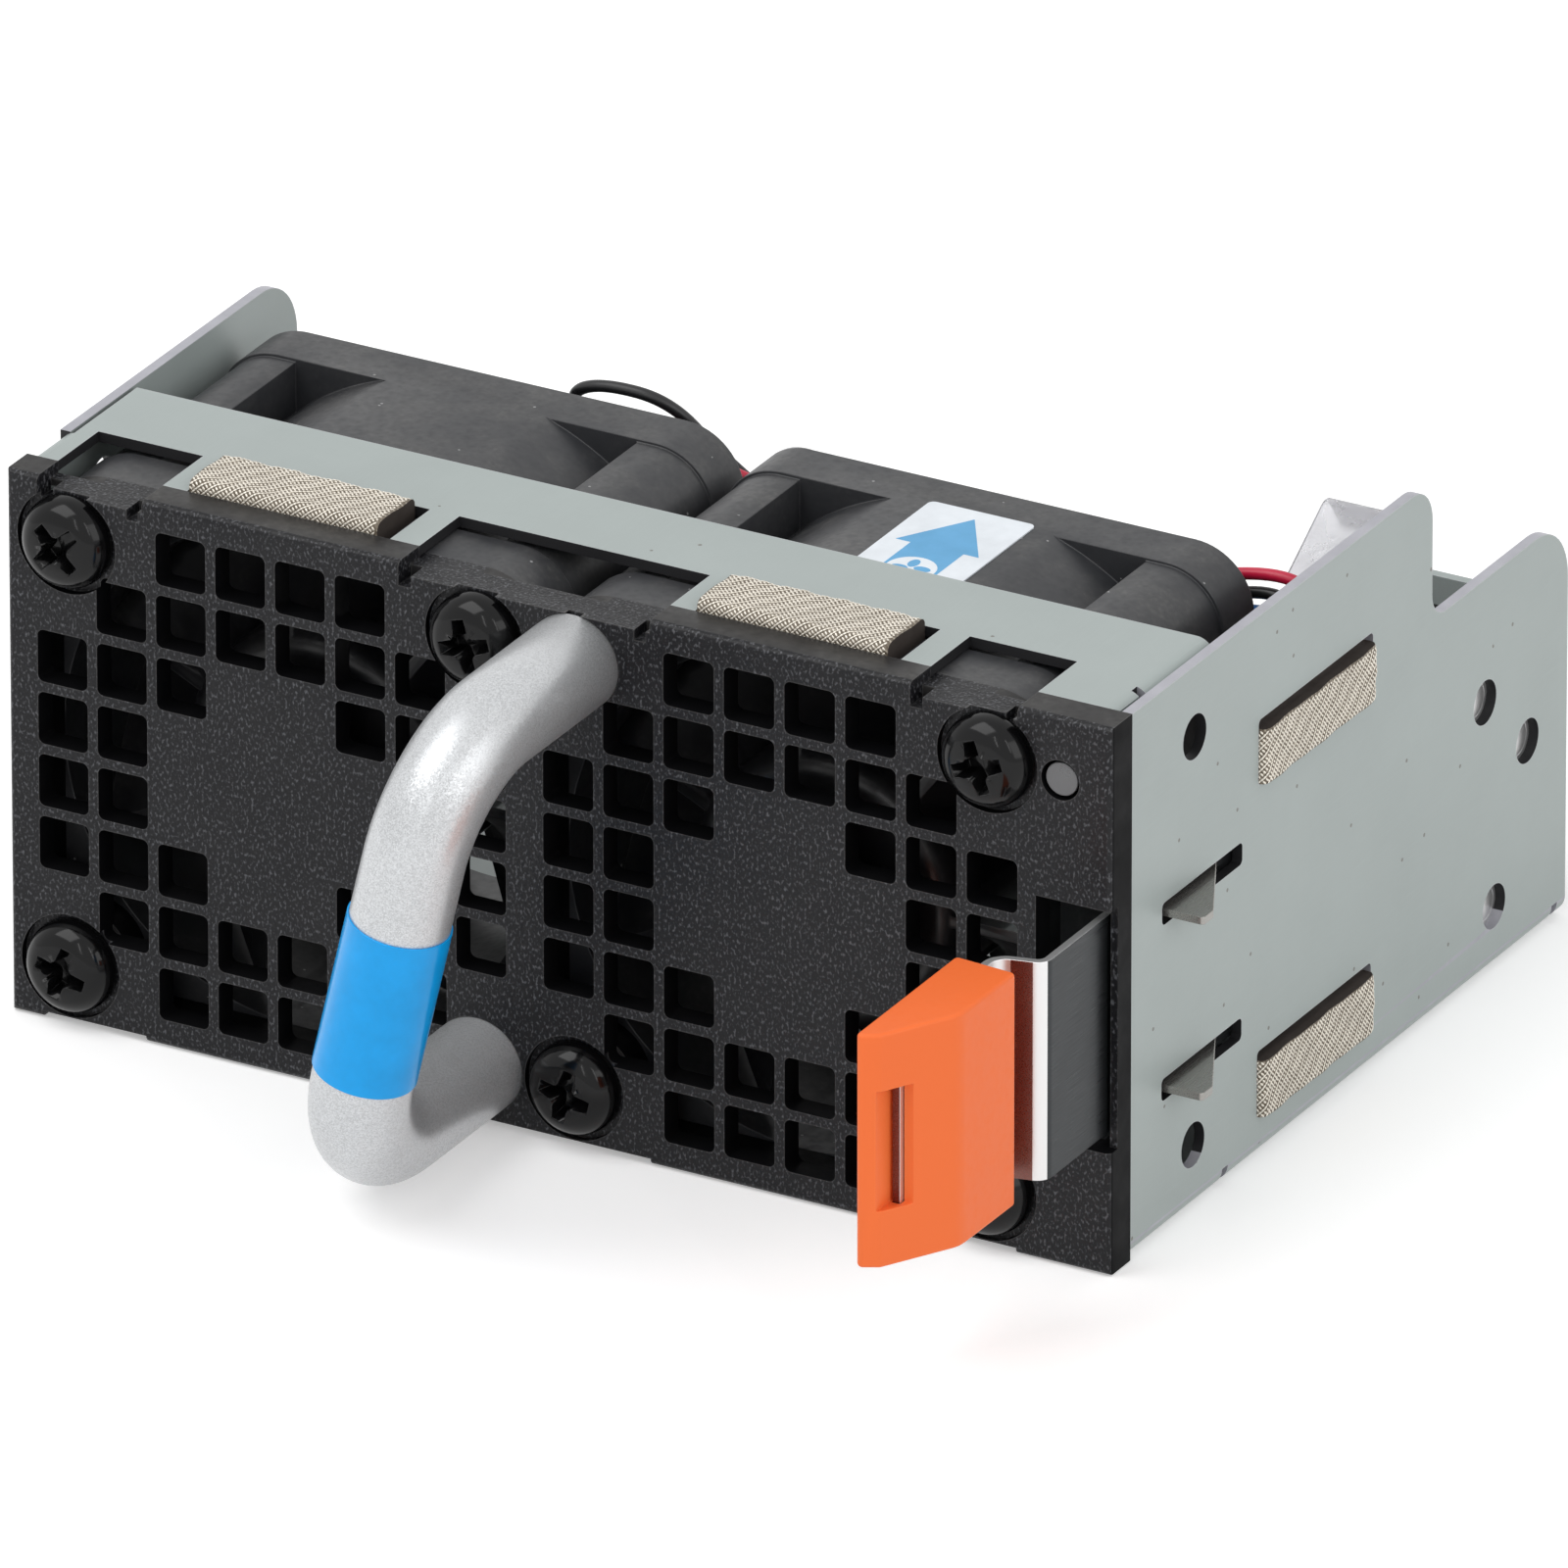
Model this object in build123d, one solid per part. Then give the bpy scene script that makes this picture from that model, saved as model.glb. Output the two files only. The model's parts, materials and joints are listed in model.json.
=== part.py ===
from build123d import *
import math
import os

# Hot-swap fan module: two 40 mm axial fans side by side in a folded sheet tray,
# behind a moulded grille panel with a bar handle and a spring latch.
# Millimetres. +X is to the right as seen from the front, +Y is the way the air blows,
# +Z is up. Everything is drawn from the front face of the panel (Y = 0) and the underside
# of the tray (Z = 0), and is moved to the middle of the tray's floor when it is written.

# Fans
FAN = 40.0
FAN_DEPTH = 28.0
FAN_HOLE_PITCH = 32.8
FAN_HOLE = 3.5
FAN_CORNER = 4.7
FLANGE = 4.4
BORE = 38.0
BARREL_RADIUS = 21.0
COLUMN = 6.2
COLUMN_STEP = 0.25

# Impeller and motor
BLADES = 7
TIP_GAP = 0.5
HUB = 21.0
HUB_WALL = 1.2
BLADE_THICKNESS = 0.85
BLADE_SWEEP = -74.0
BLADE_START = 2.2
BLADE_LENGTH = 18.6
HUB_START = 1.6
HUB_LENGTH = 20.8
YOKE = 0.5
MAGNET = 0.9
MAGNET_LENGTH = 10.0
MAGNET_START = 9.5
SHAFT = 2.5
SHAFT_FIT = 0.02
BEARING = 6.0
BEARING_WIDTH = 2.6
TUBE_WALL = 0.8
TUBE_START = 7.6
STATOR = 15.2
STATOR_START = 11.0
STATOR_LENGTH = 6.6
POLES = 4
COIL_END = 1.4
STRUTS = 5
STRUT = 1.5
LEAD_STRUT = 4.2
STRUT_DEPTH = 4.2
BASE = 1.6
BOARD = 0.8

# Tray of folded sheet
SHEET = 0.8
BEND = 1.4
FAN_FIT = 0.12
LEFT_FAN_GAP = 0.45
FAN_GAP = 0.6
SIDE_CHANNEL = 5.35
TRAY_LENGTH = 64.0
BRIDGE = 13.3
BRIDGE_NOTCH = 5.6
BRIDGE_FLANGE = 3.2
BRIDGE_SLIT = 3.8
LEFT_WALL_LENGTH = 36.4
LEFT_WALL_CORNER = 5.0
LEFT_LIP = 8.0
RIGHT_WALL_TOP = 43.7
RIGHT_WALL_STEP = 31.1
SIDE_HOLE = 3.35
FRONT_HOLE_Y = 12.0
FRONT_HOLE_Z = (5.1, 36.4)
REAR_HOLES = ((54.7, 21.5), (61.1, 15.9), (56.3, 5.0))
RELIEF = 0.8

# Panel
PANEL_DEPTH = 3.0
PLATE = 2.0
RIM = 1.5
PANEL_EDGE = 0.5
COLLAR = 1.0
FAN_STANDOFF = 2.0
EDGE_SLOT = (1.0, 1.8)
EDGE_NOTCH = (0.9, 0.8)
EDGE_NOTCH_INSET = 0.3
LATCH_RIM_SETBACK = 1.1
BOSS = 7.8
GRILLE_PITCH = 4.8
GRILLE_HOLE = 4.0
GRILLE_HOLE_CORNER = 0.5
GRILLE_CELLS = 8
GRILLE_RING = (2.0, 4.0)
FOOT_STEP = 0.5
SCREW_ZONE = (10.3, 18.75)
GASKET_ZONE = (8.35, 7.95)

# Fasteners
SCREW = 3.4
SCREW_HEAD = 6.9
SCREW_HEAD_HEIGHT = 2.5
SCREW_DOME = 0.25
SCREW_LENGTH = 10.0
SCREW_SEAT = 0.6
SEAT_GAP = 0.5
HOLE_FIT = 0.05
RECESS_REACH = 1.9
RECESS_WIDTH = 0.9
RECESS_DEPTH = 1.4

# Handle
HANDLE = 7.2
HANDLE_REACH = 19.0
HANDLE_BEND = 8.0
HANDLE_THREAD = 3.0
HANDLE_THREAD_DEPTH = 9.0
BAND_LENGTH = 12.5
BAND = 0.15
BAND_OFFSET = -2.3

# Latch
LEAF = 0.6
LEAF_HEIGHT = 16.7
LATCH_Z = 18.65
LEAF_GAP = 0.1
LEAF_HINGE_Y = 41.0
LEAF_FRONT = 7.6
LEAF_JOG = 3.4
LEAF_JOG_RAKE = 0.8
LEAF_BEND = 1.2
LEAF_IN_TAB = 13.8
TONGUE_HEIGHT = 13.0
TONGUE_GAP = 0.1
ROOT_LENGTH = 7.0
ROOT_GAP = 0.3
TOOTH_Z = 17.9
TOOTH_OFFSET = 6.75
TOOTH_REACH = 3.0
TOOTH_FRONT = 7.9
TOOTH_TIP = 1.4
TOOTH_LENGTH = 9.0
TOOTH_SLOT = (7.4, 19.0)
TOOTH_SLOT_HEIGHT = 1.7
LATCH_OPENING_MARGIN = (0.25, 0.2)
LATCH_OPENING_HEIGHT = 18.5
TAB_GAP = 2.0
TAB_SIDE_GAP = 0.6
TAB_HEIGHT = 17.8
TAB_LENGTH = 14.5
TAB_BACK_WIDTH = 4.95
TAB_NOSE = (1.65, 0.9)
TAB_SHOULDER = 8.0
TAB_CORNER = 0.4
TAB_EDGE = 0.5
TAB_WINDOW = (0.2, 9.1)
TAB_WINDOW_DEPTH = 3.2

# Conductive gaskets
GASKET_PROUD = 0.9
GASKET_SLIT = 1.1
GASKET_EDGE = 0.6
SIDE_GASKET_Y = (21.3, 38.0)
SIDE_GASKET_Z = ((3.15, 8.3), (28.8, 33.8))
SIDE_GASKET_GAP = 0.7
SIDE_GASKET_PROUD = 0.6
SIDE_GASKET_BASE = 1.0
SIDE_GASKET_LAP = 0.5

# Light pipe, label and lead guard
LIGHT_PIPE = 2.5
LIGHT_PIPE_GAP = 0.25
LIGHT_PIPE_SINK = 0.2
LIGHT_PIPE_EDGE = 4.0
LIGHT_PIPE_Z = 37.1
LIGHT_PIPE_LENGTH = 12.0
LIGHT_PIPE_COLLAR = 4.0
LABEL_WIDTH = 8.4
LABEL_LENGTH = 14.0
LABEL = 0.1
LABEL_OFFSET = 0.45
LABEL_BACK = 3.6
FILM = 0.3
FILM_WIDTH = 5.2
FILM_FOOT = (36.2, 37.4)
FILM_PEAK = (42.4, 41.5)
FILM_END = (44.6, 38.0)

# Connector at the back
BARREL = 5.0
BARREL_LENGTH = 2.0
BRACKET_Y = (50.5, 65.8)
BRACKET_Z = (1.6, 25.0)
BRACKET_REACH = 15.5
CONNECTOR = (8.6, 10.6, 15.0)
CONNECTOR_GAP = 2.3
CONNECTOR_FLANGE = 1.6
CONNECTOR_PROUD = 1.8
CONTACT = 0.64
CONTACT_PITCH = 2.54
CONTACT_LENGTH = 6.0
CONTACT_ROWS = 5
CONTACT_COLUMNS = 2
BRACKET_SCREW = 2.5
BRACKET_SCREW_HEAD = 4.6
BRACKET_SCREW_HEAD_HEIGHT = 1.4

# Leads
LEAD = 0.9
LEAD_STEP = 1.0

# Worked out from the sizes above
HEIGHT = FAN + 2 * (SHEET + FAN_FIT)
WIDTH = 2 * SHEET + LEFT_FAN_GAP + 2 * FAN + FAN_GAP + SIDE_CHANNEL
HALF = WIDTH / 2
WALL = HALF - SHEET
TRAY_FRONT = PANEL_DEPTH
TRAY_BACK = TRAY_FRONT + TRAY_LENGTH
FAN_FRONT = PLATE + FAN_STANDOFF
FAN_BACK = FAN_FRONT + FAN_DEPTH
FAN_Z = HEIGHT / 2
FAN_TOP = FAN_Z + FAN / 2
LEFT_X = -WALL + LEFT_FAN_GAP + FAN / 2
RIGHT_X = LEFT_X + FAN + FAN_GAP
HOLE = FAN_HOLE_PITCH / 2
SCREW_ZONES = (
    (LEFT_X - SCREW_ZONE[1], LEFT_X - SCREW_ZONE[0]),
    (LEFT_X + SCREW_ZONE[0], RIGHT_X - SCREW_ZONE[0]),
    (RIGHT_X + SCREW_ZONE[0], RIGHT_X + SCREW_ZONE[1]),
)
GASKET_ZONES = [(x - GASKET_ZONE[0], x + GASKET_ZONE[1]) for x in (LEFT_X, RIGHT_X)]
LATCH_OPENING = (RIGHT_X + FAN / 2 + LATCH_OPENING_MARGIN[0], WALL + LATCH_OPENING_MARGIN[1])
LIGHT_PIPE_X = HALF - LIGHT_PIPE_EDGE
NOTCH_BACK = TRAY_FRONT + BRIDGE_NOTCH
BRIDGE_BACK = TRAY_FRONT + BRIDGE
LEAF_OUTER = WALL - LEAF_GAP
TAB_BACK = -LEAF_FRONT - LEAF_JOG_RAKE - TAB_GAP
LEAF_Z = (LATCH_Z - LEAF_HEIGHT / 2, LATCH_Z + LEAF_HEIGHT / 2)
ORIGIN = (0, (TRAY_FRONT + TRAY_BACK) / 2, 0)
FANS = {"left": LEFT_X, "right": RIGHT_X}
CORNERS = [(x, z) for x in (-HOLE, HOLE) for z in (-HOLE, HOLE)]
HANDLE_TOP = (RIGHT_X - HOLE, FAN_Z + HOLE)
HANDLE_BOTTOM = (LEFT_X + HOLE, FAN_Z - HOLE)
HANDLE_FEET = (HANDLE_TOP, HANDLE_BOTTOM)
SCREW_PLACES = [
    (fan_x + x, FAN_Z + z)
    for fan_x in FANS.values()
    for x, z in CORNERS
    if (fan_x + x, FAN_Z + z) not in HANDLE_FEET
]


# Helpers


def block(x, y, z):
    """Box between (low, high) pairs."""
    size = [high - low for low, high in (x, y, z)]
    middle = [(high + low) / 2 for low, high in (x, y, z)]
    return Pos(*middle) * Box(*size)


def around(middle, width):
    """(low, high) pair of a width about its middle."""
    return (middle - width / 2, middle + width / 2)


def along_y(sketch, y):
    """Solid of a sketch in X and Z between two depths."""
    return extrude(Plane.XZ.offset(-y[1]) * sketch, amount=y[1] - y[0])


def along_x(sketch, x):
    """Solid of a sketch in Y and Z between two widths."""
    return extrude(Plane.YZ.offset(x[0]) * sketch, amount=x[1] - x[0])


def along_z(sketch, z):
    """Solid of a sketch in X and Y between two heights."""
    return extrude(Plane.XY.offset(z[0]) * sketch, amount=z[1] - z[0])


def rod(x, z, radius, y):
    """Round bar along Y."""
    return along_y(Pos(x, z) * Circle(radius), y)


def tube(x, z, outer, inner, y):
    """Round tube along Y."""
    return along_y(Pos(x, z) * (Circle(outer) - Circle(inner)), y)


def outline(corners):
    """Closed face through (u, v, radius) corners, sharp where the radius is 0."""
    face = make_face(Polyline(*[(u, v) for u, v, _ in corners], close=True))
    for u, v, radius in corners:
        if radius:
            corner = face.vertices().sort_by_distance((u, v, 0))[0]
            face = fillet(corner, radius)
    return face


def strip(points, thickness, radius, side=Side.LEFT):
    """Flat strip of one thickness along a bent line, on one side of its direction."""
    line = FilletPolyline(*points, radius=radius)
    return make_face(offset(line, thickness, side=side, closed=True))


def write(name, *solids):
    """Moves a piece to the part's origin and writes it."""
    shape = solids[0] if len(solids) == 1 else Compound(children=[s for s in solids])
    x, y, z = ORIGIN
    export_step(Pos(-x, -y, -z) * shape, f"parts/{name}.step")


# Tray


def right_wall_outline():
    """Side wall with its high front, step and low rear part."""
    return outline([
        (TRAY_FRONT, 0, 0),
        (TRAY_BACK, 0, 1.0),
        (TRAY_BACK, RIGHT_WALL_STEP, 4.8),
        (RIGHT_WALL_TOP + 3.0, RIGHT_WALL_STEP, 2.0),
        (RIGHT_WALL_TOP + 3.0, HEIGHT, 3.0),
        (TRAY_FRONT, HEIGHT, 0),
    ])


def left_wall_outline():
    """Side wall that stops behind the fan and goes on as a low lip."""
    back = TRAY_FRONT + LEFT_WALL_LENGTH
    return outline([
        (TRAY_FRONT, 0, 0),
        (TRAY_BACK, 0, 1.0),
        (TRAY_BACK, LEFT_LIP, 3.0),
        (back, LEFT_LIP, 3.0),
        (back, HEIGHT, LEFT_WALL_CORNER),
        (TRAY_FRONT, HEIGHT, 0),
    ])


def bridge():
    """Strip across the top, bent down inside the right wall and up out of the left one."""
    inner_bend = BEND - SHEET
    low = HEIGHT - BRIDGE_FLANGE
    left_edge = -WALL + 0.35
    cross = outline([
        (left_edge, HEIGHT, 0),
        (WALL, HEIGHT, BEND),
        (WALL, low, 0),
        (WALL - SHEET, low, 0),
        (WALL - SHEET, HEIGHT - SHEET, inner_bend),
        (left_edge, HEIGHT - SHEET, 0),
    ])
    plate = along_y(cross, (TRAY_FRONT, BRIDGE_BACK))
    slit_back = TRAY_FRONT + BRIDGE_SLIT
    plate -= block((WALL - 0.5, HALF), (0, slit_back), (low - 1, HEIGHT + 1))
    plate -= block((WALL - 1.1, WALL), (slit_back - 0.5, slit_back + 0.3), (low - 1, HEIGHT + 1))
    corner = outline([
        (-HALF, low, 0),
        (-HALF, HEIGHT, BEND),
        (-WALL + BEND, HEIGHT, 0),
        (-WALL + BEND, HEIGHT - SHEET, 0),
        (-WALL, HEIGHT - SHEET, inner_bend),
        (-WALL, low, 0),
    ])
    plate += along_y(corner, (TRAY_FRONT, TRAY_FRONT + 4.6))
    for zone in (*SCREW_ZONES, *GASKET_ZONES):
        plate -= block(zone, (0, NOTCH_BACK), (HEIGHT - 2 * SHEET, HEIGHT + 1))
    return plate


def chassis():
    """Folded tray: floor, both walls and the bridge over the fans' front edge."""
    cross = outline([
        (-HALF, 0, BEND),
        (HALF, 0, BEND),
        (HALF, HEIGHT, 0),
        (WALL, HEIGHT, 0),
        (WALL, SHEET, BEND - SHEET),
        (-WALL, SHEET, BEND - SHEET),
        (-WALL, HEIGHT, 0),
        (-HALF, HEIGHT, 0),
    ])
    tray = along_y(cross, (TRAY_FRONT, TRAY_BACK))
    whole = ((TRAY_FRONT - 1, TRAY_BACK + 1), (-1, HEIGHT + 1))
    above = BEND + 0.01
    right = block((WALL - 0.1, HALF + 0.1), *whole)
    right -= along_x(right_wall_outline(), (WALL - 0.1, HALF + 0.1))
    tray -= right & block((0, WIDTH), whole[0], (above, HEIGHT + 1))
    left = block((-HALF - 0.1, -WALL + 0.1), *whole)
    left -= along_x(left_wall_outline(), (-HALF - 0.1, -WALL + 0.1))
    tray -= left & block((-WIDTH, 0), whole[0], (above, HEIGHT + 1))
    tray -= block((-HALF, -WALL), (TRAY_FRONT, TRAY_FRONT + 4.6), (HEIGHT - BRIDGE_FLANGE, HEIGHT))
    tray += bridge()
    for zone in SCREW_ZONES:
        tray -= block(zone, (0, NOTCH_BACK), (-1, SHEET + 1))
    for y in (BRIDGE_BACK, TRAY_BACK - 2.0):
        tray -= block((WALL - BEND, HALF), (y, y + RELIEF), (-1, BEND))
    for z in FRONT_HOLE_Z:
        tray -= side_hole(FRONT_HOLE_Y, z)
        tray -= mirror(side_hole(FRONT_HOLE_Y, z), Plane.YZ)
    for y, z in REAR_HOLES:
        tray -= side_hole(y, z)
    for z in SIDE_GASKET_Z:
        tray -= rounded_slot(SIDE_GASKET_Y, z)
    for z in (TOOTH_Z - TOOTH_OFFSET, TOOTH_Z + TOOTH_OFFSET):
        tray -= rounded_slot(TOOTH_SLOT, around(z, TOOTH_SLOT_HEIGHT))
    return tray


def side_hole(y, z):
    """Cutter for a round hole in the right wall."""
    return along_x(Pos(y, z) * Circle(SIDE_HOLE / 2), (WALL - 1, HALF + 1))


def rounded_slot(y, z):
    """Cutter for a slot in the right wall, with small corner radii."""
    size = Pos(sum(y) / 2, sum(z) / 2) * RectangleRounded(y[1] - y[0], z[1] - z[0], 0.4)
    return along_x(size, (WALL - 1, HALF + 1))


# Panel


def grille_cells():
    """Places of the open cells: those of a square pattern that lie in a ring."""
    places = [(index - (GRILLE_CELLS - 1) / 2) * GRILLE_PITCH for index in range(GRILLE_CELLS)]
    low, high = (share * GRILLE_PITCH for share in GRILLE_RING)
    return [(across, up) for across in places for up in places if low < math.hypot(across, up) < high]


def panel_edge_cutters():
    """Cutters that lower the panel's edge to the fans in front of the tray's notches."""
    slot_width, slot_depth = EDGE_SLOT
    notch_width, notch_depth = EDGE_NOTCH
    depth = (-1, PANEL_DEPTH + 1)
    cutters = []
    for low, high in SCREW_ZONES:
        cutters.append(block((low, high), depth, (FAN_TOP, HEIGHT + 1)))
        cutters.append(block((low, low + slot_width), (-1, PLATE), (HEIGHT - slot_depth, HEIGHT + 1)))
        notch_high = high - EDGE_NOTCH_INSET
        notch = (notch_high - notch_width, notch_high)
        cutters.append(block(notch, (-1, PLATE), (FAN_TOP - notch_depth, HEIGHT + 1)))
        cutters.append(block((low, high), depth, (-1, FOOT_STEP)))
    return cutters


def front_panel():
    """Moulded front with a rim round the tray, two grilles, collars and a latch opening."""
    panel = along_y(Pos(0, HEIGHT / 2) * Rectangle(WIDTH, HEIGHT), (0, PANEL_DEPTH))
    front_edges = panel.faces().sort_by(Axis.Y)[0].edges()
    panel = fillet(front_edges, PANEL_EDGE)
    panel -= block(around(0, WIDTH - 2 * RIM), (PLATE, PANEL_DEPTH + 1), (RIM, HEIGHT - RIM))
    for cutter in panel_edge_cutters():
        panel -= cutter
    collar = RectangleRounded(FAN, FAN, FAN_CORNER)
    collar -= RectangleRounded(FAN - 2 * COLLAR, FAN - 2 * COLLAR, FAN_CORNER - COLLAR)
    cell = RectangleRounded(GRILLE_HOLE, GRILLE_HOLE, GRILLE_HOLE_CORNER)
    grille = [Pos(across, up) * cell for across, up in grille_cells()]
    for x in FANS.values():
        panel += along_y(Pos(x, FAN_Z) * collar, (PLATE - 0.2, FAN_FRONT))
        panel -= along_y(Pos(x, FAN_Z) * Sketch(children=grille), (-1, PLATE + 0.1))
    places = [(x + across, FAN_Z + up) for x in FANS.values() for across, up in CORNERS]
    bosses = Sketch(children=[Pos(across, up) * Circle(BOSS / 2) for across, up in CORNERS])
    bosses = bosses & RectangleRounded(FAN, FAN, FAN_CORNER)
    for x in FANS.values():
        panel += along_y(Pos(x, FAN_Z) * bosses, (PLATE - 0.2, FAN_FRONT))
    for x, z in places:
        panel -= rod(x, z, FAN_HOLE / 2, (-1, FAN_FRONT + 1))
        seat = HANDLE / 2 + HOLE_FIT if (x, z) in HANDLE_FEET else SCREW_HEAD / 2 + SEAT_GAP
        panel -= rod(x, z, seat, (-1, SCREW_SEAT))
    panel -= rod(LIGHT_PIPE_X, LIGHT_PIPE_Z, LIGHT_PIPE / 2 + LIGHT_PIPE_GAP, (-1, PLATE + 1))
    opening = around(LATCH_Z, LATCH_OPENING_HEIGHT)
    panel -= block(LATCH_OPENING, (-1, FAN_FRONT + 1), opening)
    panel -= block((LATCH_OPENING[0], HALF + 1), (-1, LATCH_RIM_SETBACK), opening)
    return panel


# Screws


def cross_recess(depth_at):
    """Cutter for a cross recess that narrows towards its foot."""
    cutter = None
    for turn in (0, 90):
        arm = loft([
            Plane.XZ.offset(-depth_at) * Rot(0, 0, turn) * Rectangle(2 * RECESS_REACH, RECESS_WIDTH),
            Plane.XZ.offset(-depth_at - RECESS_DEPTH) * Rot(0, 0, turn) * Rectangle(1.1, 0.45),
        ])
        cutter = arm if cutter is None else cutter + arm
    return cutter


def pan_screw(head, height, shank, length):
    """Pan-head screw with its seat at Y = 0 and its shank towards +Y."""
    radius = head / 2
    profile = outline([
        (0, 0, 0),
        (radius, 0, 0),
        (radius, -height + SCREW_DOME, (height - SCREW_DOME) * 0.8),
        (0, -height, 0),
    ])
    cap = revolve(profile, Axis.Y)
    cap += rod(0, 0, shank / 2, (0, length))
    return cap - cross_recess(-height - 0.05)


def panel_screws():
    """Six screws through the panel's bosses into the fans' corners."""
    screw = pan_screw(SCREW_HEAD, SCREW_HEAD_HEIGHT, SCREW, SCREW_LENGTH)
    return [Pos(x, SCREW_SEAT, z) * screw for x, z in SCREW_PLACES]


def handle_screws():
    """Two long screws from behind, through fan and panel into the handle's ends."""
    length = FAN_BACK - SCREW_SEAT + HANDLE_THREAD_DEPTH - 1.0
    screw = pan_screw(SCREW_HEAD - 0.6, SCREW_HEAD_HEIGHT, HANDLE_THREAD, length)
    return [Pos(x, FAN_BACK, z) * Rot(0, 0, 180) * screw for x, z in HANDLE_FEET]


# Handle


def handle_path():
    """Centre line of the bar, from one foot round the grip to the other."""
    (top_x, top_z), (low_x, low_z) = HANDLE_FEET
    return FilletPolyline(
        (top_x, SCREW_SEAT, top_z),
        (top_x, -HANDLE_REACH, top_z),
        (low_x, -HANDLE_REACH, low_z),
        (low_x, SCREW_SEAT, low_z),
        radius=HANDLE_BEND,
    )


def handle():
    """Bent round bar with a tapped hole in each foot."""
    path = handle_path()
    foot = Plane(origin=path @ 0, z_dir=path % 0)
    bar = sweep(foot * Circle(HANDLE / 2), path=path)
    for x, z in HANDLE_FEET:
        bar -= rod(x, z, HANDLE_THREAD / 2 + HOLE_FIT, (SCREW_SEAT - HANDLE_THREAD_DEPTH, SCREW_SEAT + 1))
    return bar


def handle_band():
    """Thin coloured sleeve on the grip."""
    (top_x, top_z), (low_x, low_z) = HANDLE_FEET
    grip = Vector(top_x - low_x, 0, top_z - low_z).normalized()
    middle = Vector((top_x + low_x) / 2, -HANDLE_REACH, (top_z + low_z) / 2)
    start = middle + grip * (BAND_OFFSET - BAND_LENGTH / 2)
    ring = Circle(HANDLE / 2 + BAND) - Circle(HANDLE / 2)
    return extrude(Plane(origin=start, z_dir=grip) * ring, amount=BAND_LENGTH)


# Latch


def leaf_line():
    """Plan of the spring leaf's outer face, from the hinge end to its end in the tab."""
    jog_x = LEAF_OUTER - LEAF_JOG
    jog_y = -LEAF_FRONT - LEAF_JOG_RAKE
    return [
        (LEAF_OUTER, LEAF_HINGE_Y),
        (LEAF_OUTER, -LEAF_FRONT),
        (jog_x, jog_y),
        (jog_x, jog_y - LEAF_IN_TAB),
    ]


def latch_leaf():
    """Spring leaf with two catch teeth that stand out through the wall."""
    plan = strip(leaf_line(), LEAF, LEAF_BEND, Side.RIGHT)
    tongue_y = (-WIDTH, TAB_BACK + TONGUE_GAP)
    tongue = block((0, HALF), tongue_y, around(LATCH_Z, TONGUE_HEIGHT))
    leaf = along_z(plan, LEAF_Z) - (block((0, HALF), tongue_y, (-1, HEIGHT)) - tongue)
    tip = HALF + TOOTH_REACH
    tooth = outline([
        (LEAF_OUTER - LEAF, TOOTH_FRONT, 0),
        (tip, TOOTH_FRONT, 0.3),
        (tip, TOOTH_FRONT + TOOTH_TIP, 0.3),
        (LEAF_OUTER, TOOTH_FRONT + TOOTH_LENGTH, 0),
        (LEAF_OUTER - LEAF, TOOTH_FRONT + TOOTH_LENGTH, 0),
    ])
    for side in (-1, 1):
        leaf += along_z(tooth, around(TOOTH_Z + side * TOOTH_OFFSET, LEAF))
    return leaf


def latch_root():
    """End of the leaf that is welded to the wall."""
    y = (LEAF_HINGE_Y + ROOT_GAP, LEAF_HINGE_Y + ROOT_GAP + ROOT_LENGTH)
    return block((WALL - LEAF, WALL), y, LEAF_Z)


def tab_outline():
    """Plan of the moulded tab, a wedge with its nose to the front."""
    right = LEAF_OUTER - TAB_SIDE_GAP
    left = right - TAB_BACK_WIDTH
    nose = TAB_BACK - TAB_LENGTH
    nose_width, nose_rake = TAB_NOSE
    return outline([
        (left, TAB_BACK, TAB_CORNER),
        (right, TAB_BACK - 0.35, TAB_CORNER),
        (right - 0.1, TAB_BACK - TAB_SHOULDER, 2.5),
        (left + nose_width, nose + nose_rake, TAB_CORNER),
        (left, nose, TAB_CORNER),
    ])


def latch_tab():
    """Moulded tab pushed over the leaf's end, with a window that shows the steel."""
    tab = along_z(tab_outline(), around(LATCH_Z, TAB_HEIGHT))
    caps = tab.faces().sort_by(Axis.Z)
    tab = fillet(caps[0].edges() + caps[-1].edges(), TAB_EDGE * 0.6)
    pocket = strip(leaf_line(), LEAF, LEAF_BEND, Side.RIGHT)
    tab -= along_z(offset(pocket, HOLE_FIT), around(LATCH_Z, TONGUE_HEIGHT + 2 * HOLE_FIT))
    leaf_inner = LEAF_OUTER - LEAF_JOG - LEAF
    nose = TAB_BACK - TAB_LENGTH
    margin, height = TAB_WINDOW
    window = ((leaf_inner - margin, HALF), (nose - 1, nose + TAB_WINDOW_DEPTH))
    return tab - block(*window, around(LATCH_Z, height))


# Gaskets


def top_gasket(zone):
    """Fabric-covered foam strip on top of a fan, standing a little out of the bridge."""
    x = (zone[0] + 0.1, zone[1] - GASKET_SLIT)
    y = (TRAY_FRONT + 0.1, NOTCH_BACK - 0.2)
    strip_solid = block(x, y, (FAN_TOP, HEIGHT + GASKET_PROUD))
    top = strip_solid.faces().sort_by(Axis.Z)[-1]
    return fillet(top.edges().filter_by(Axis.X), GASKET_EDGE)


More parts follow.
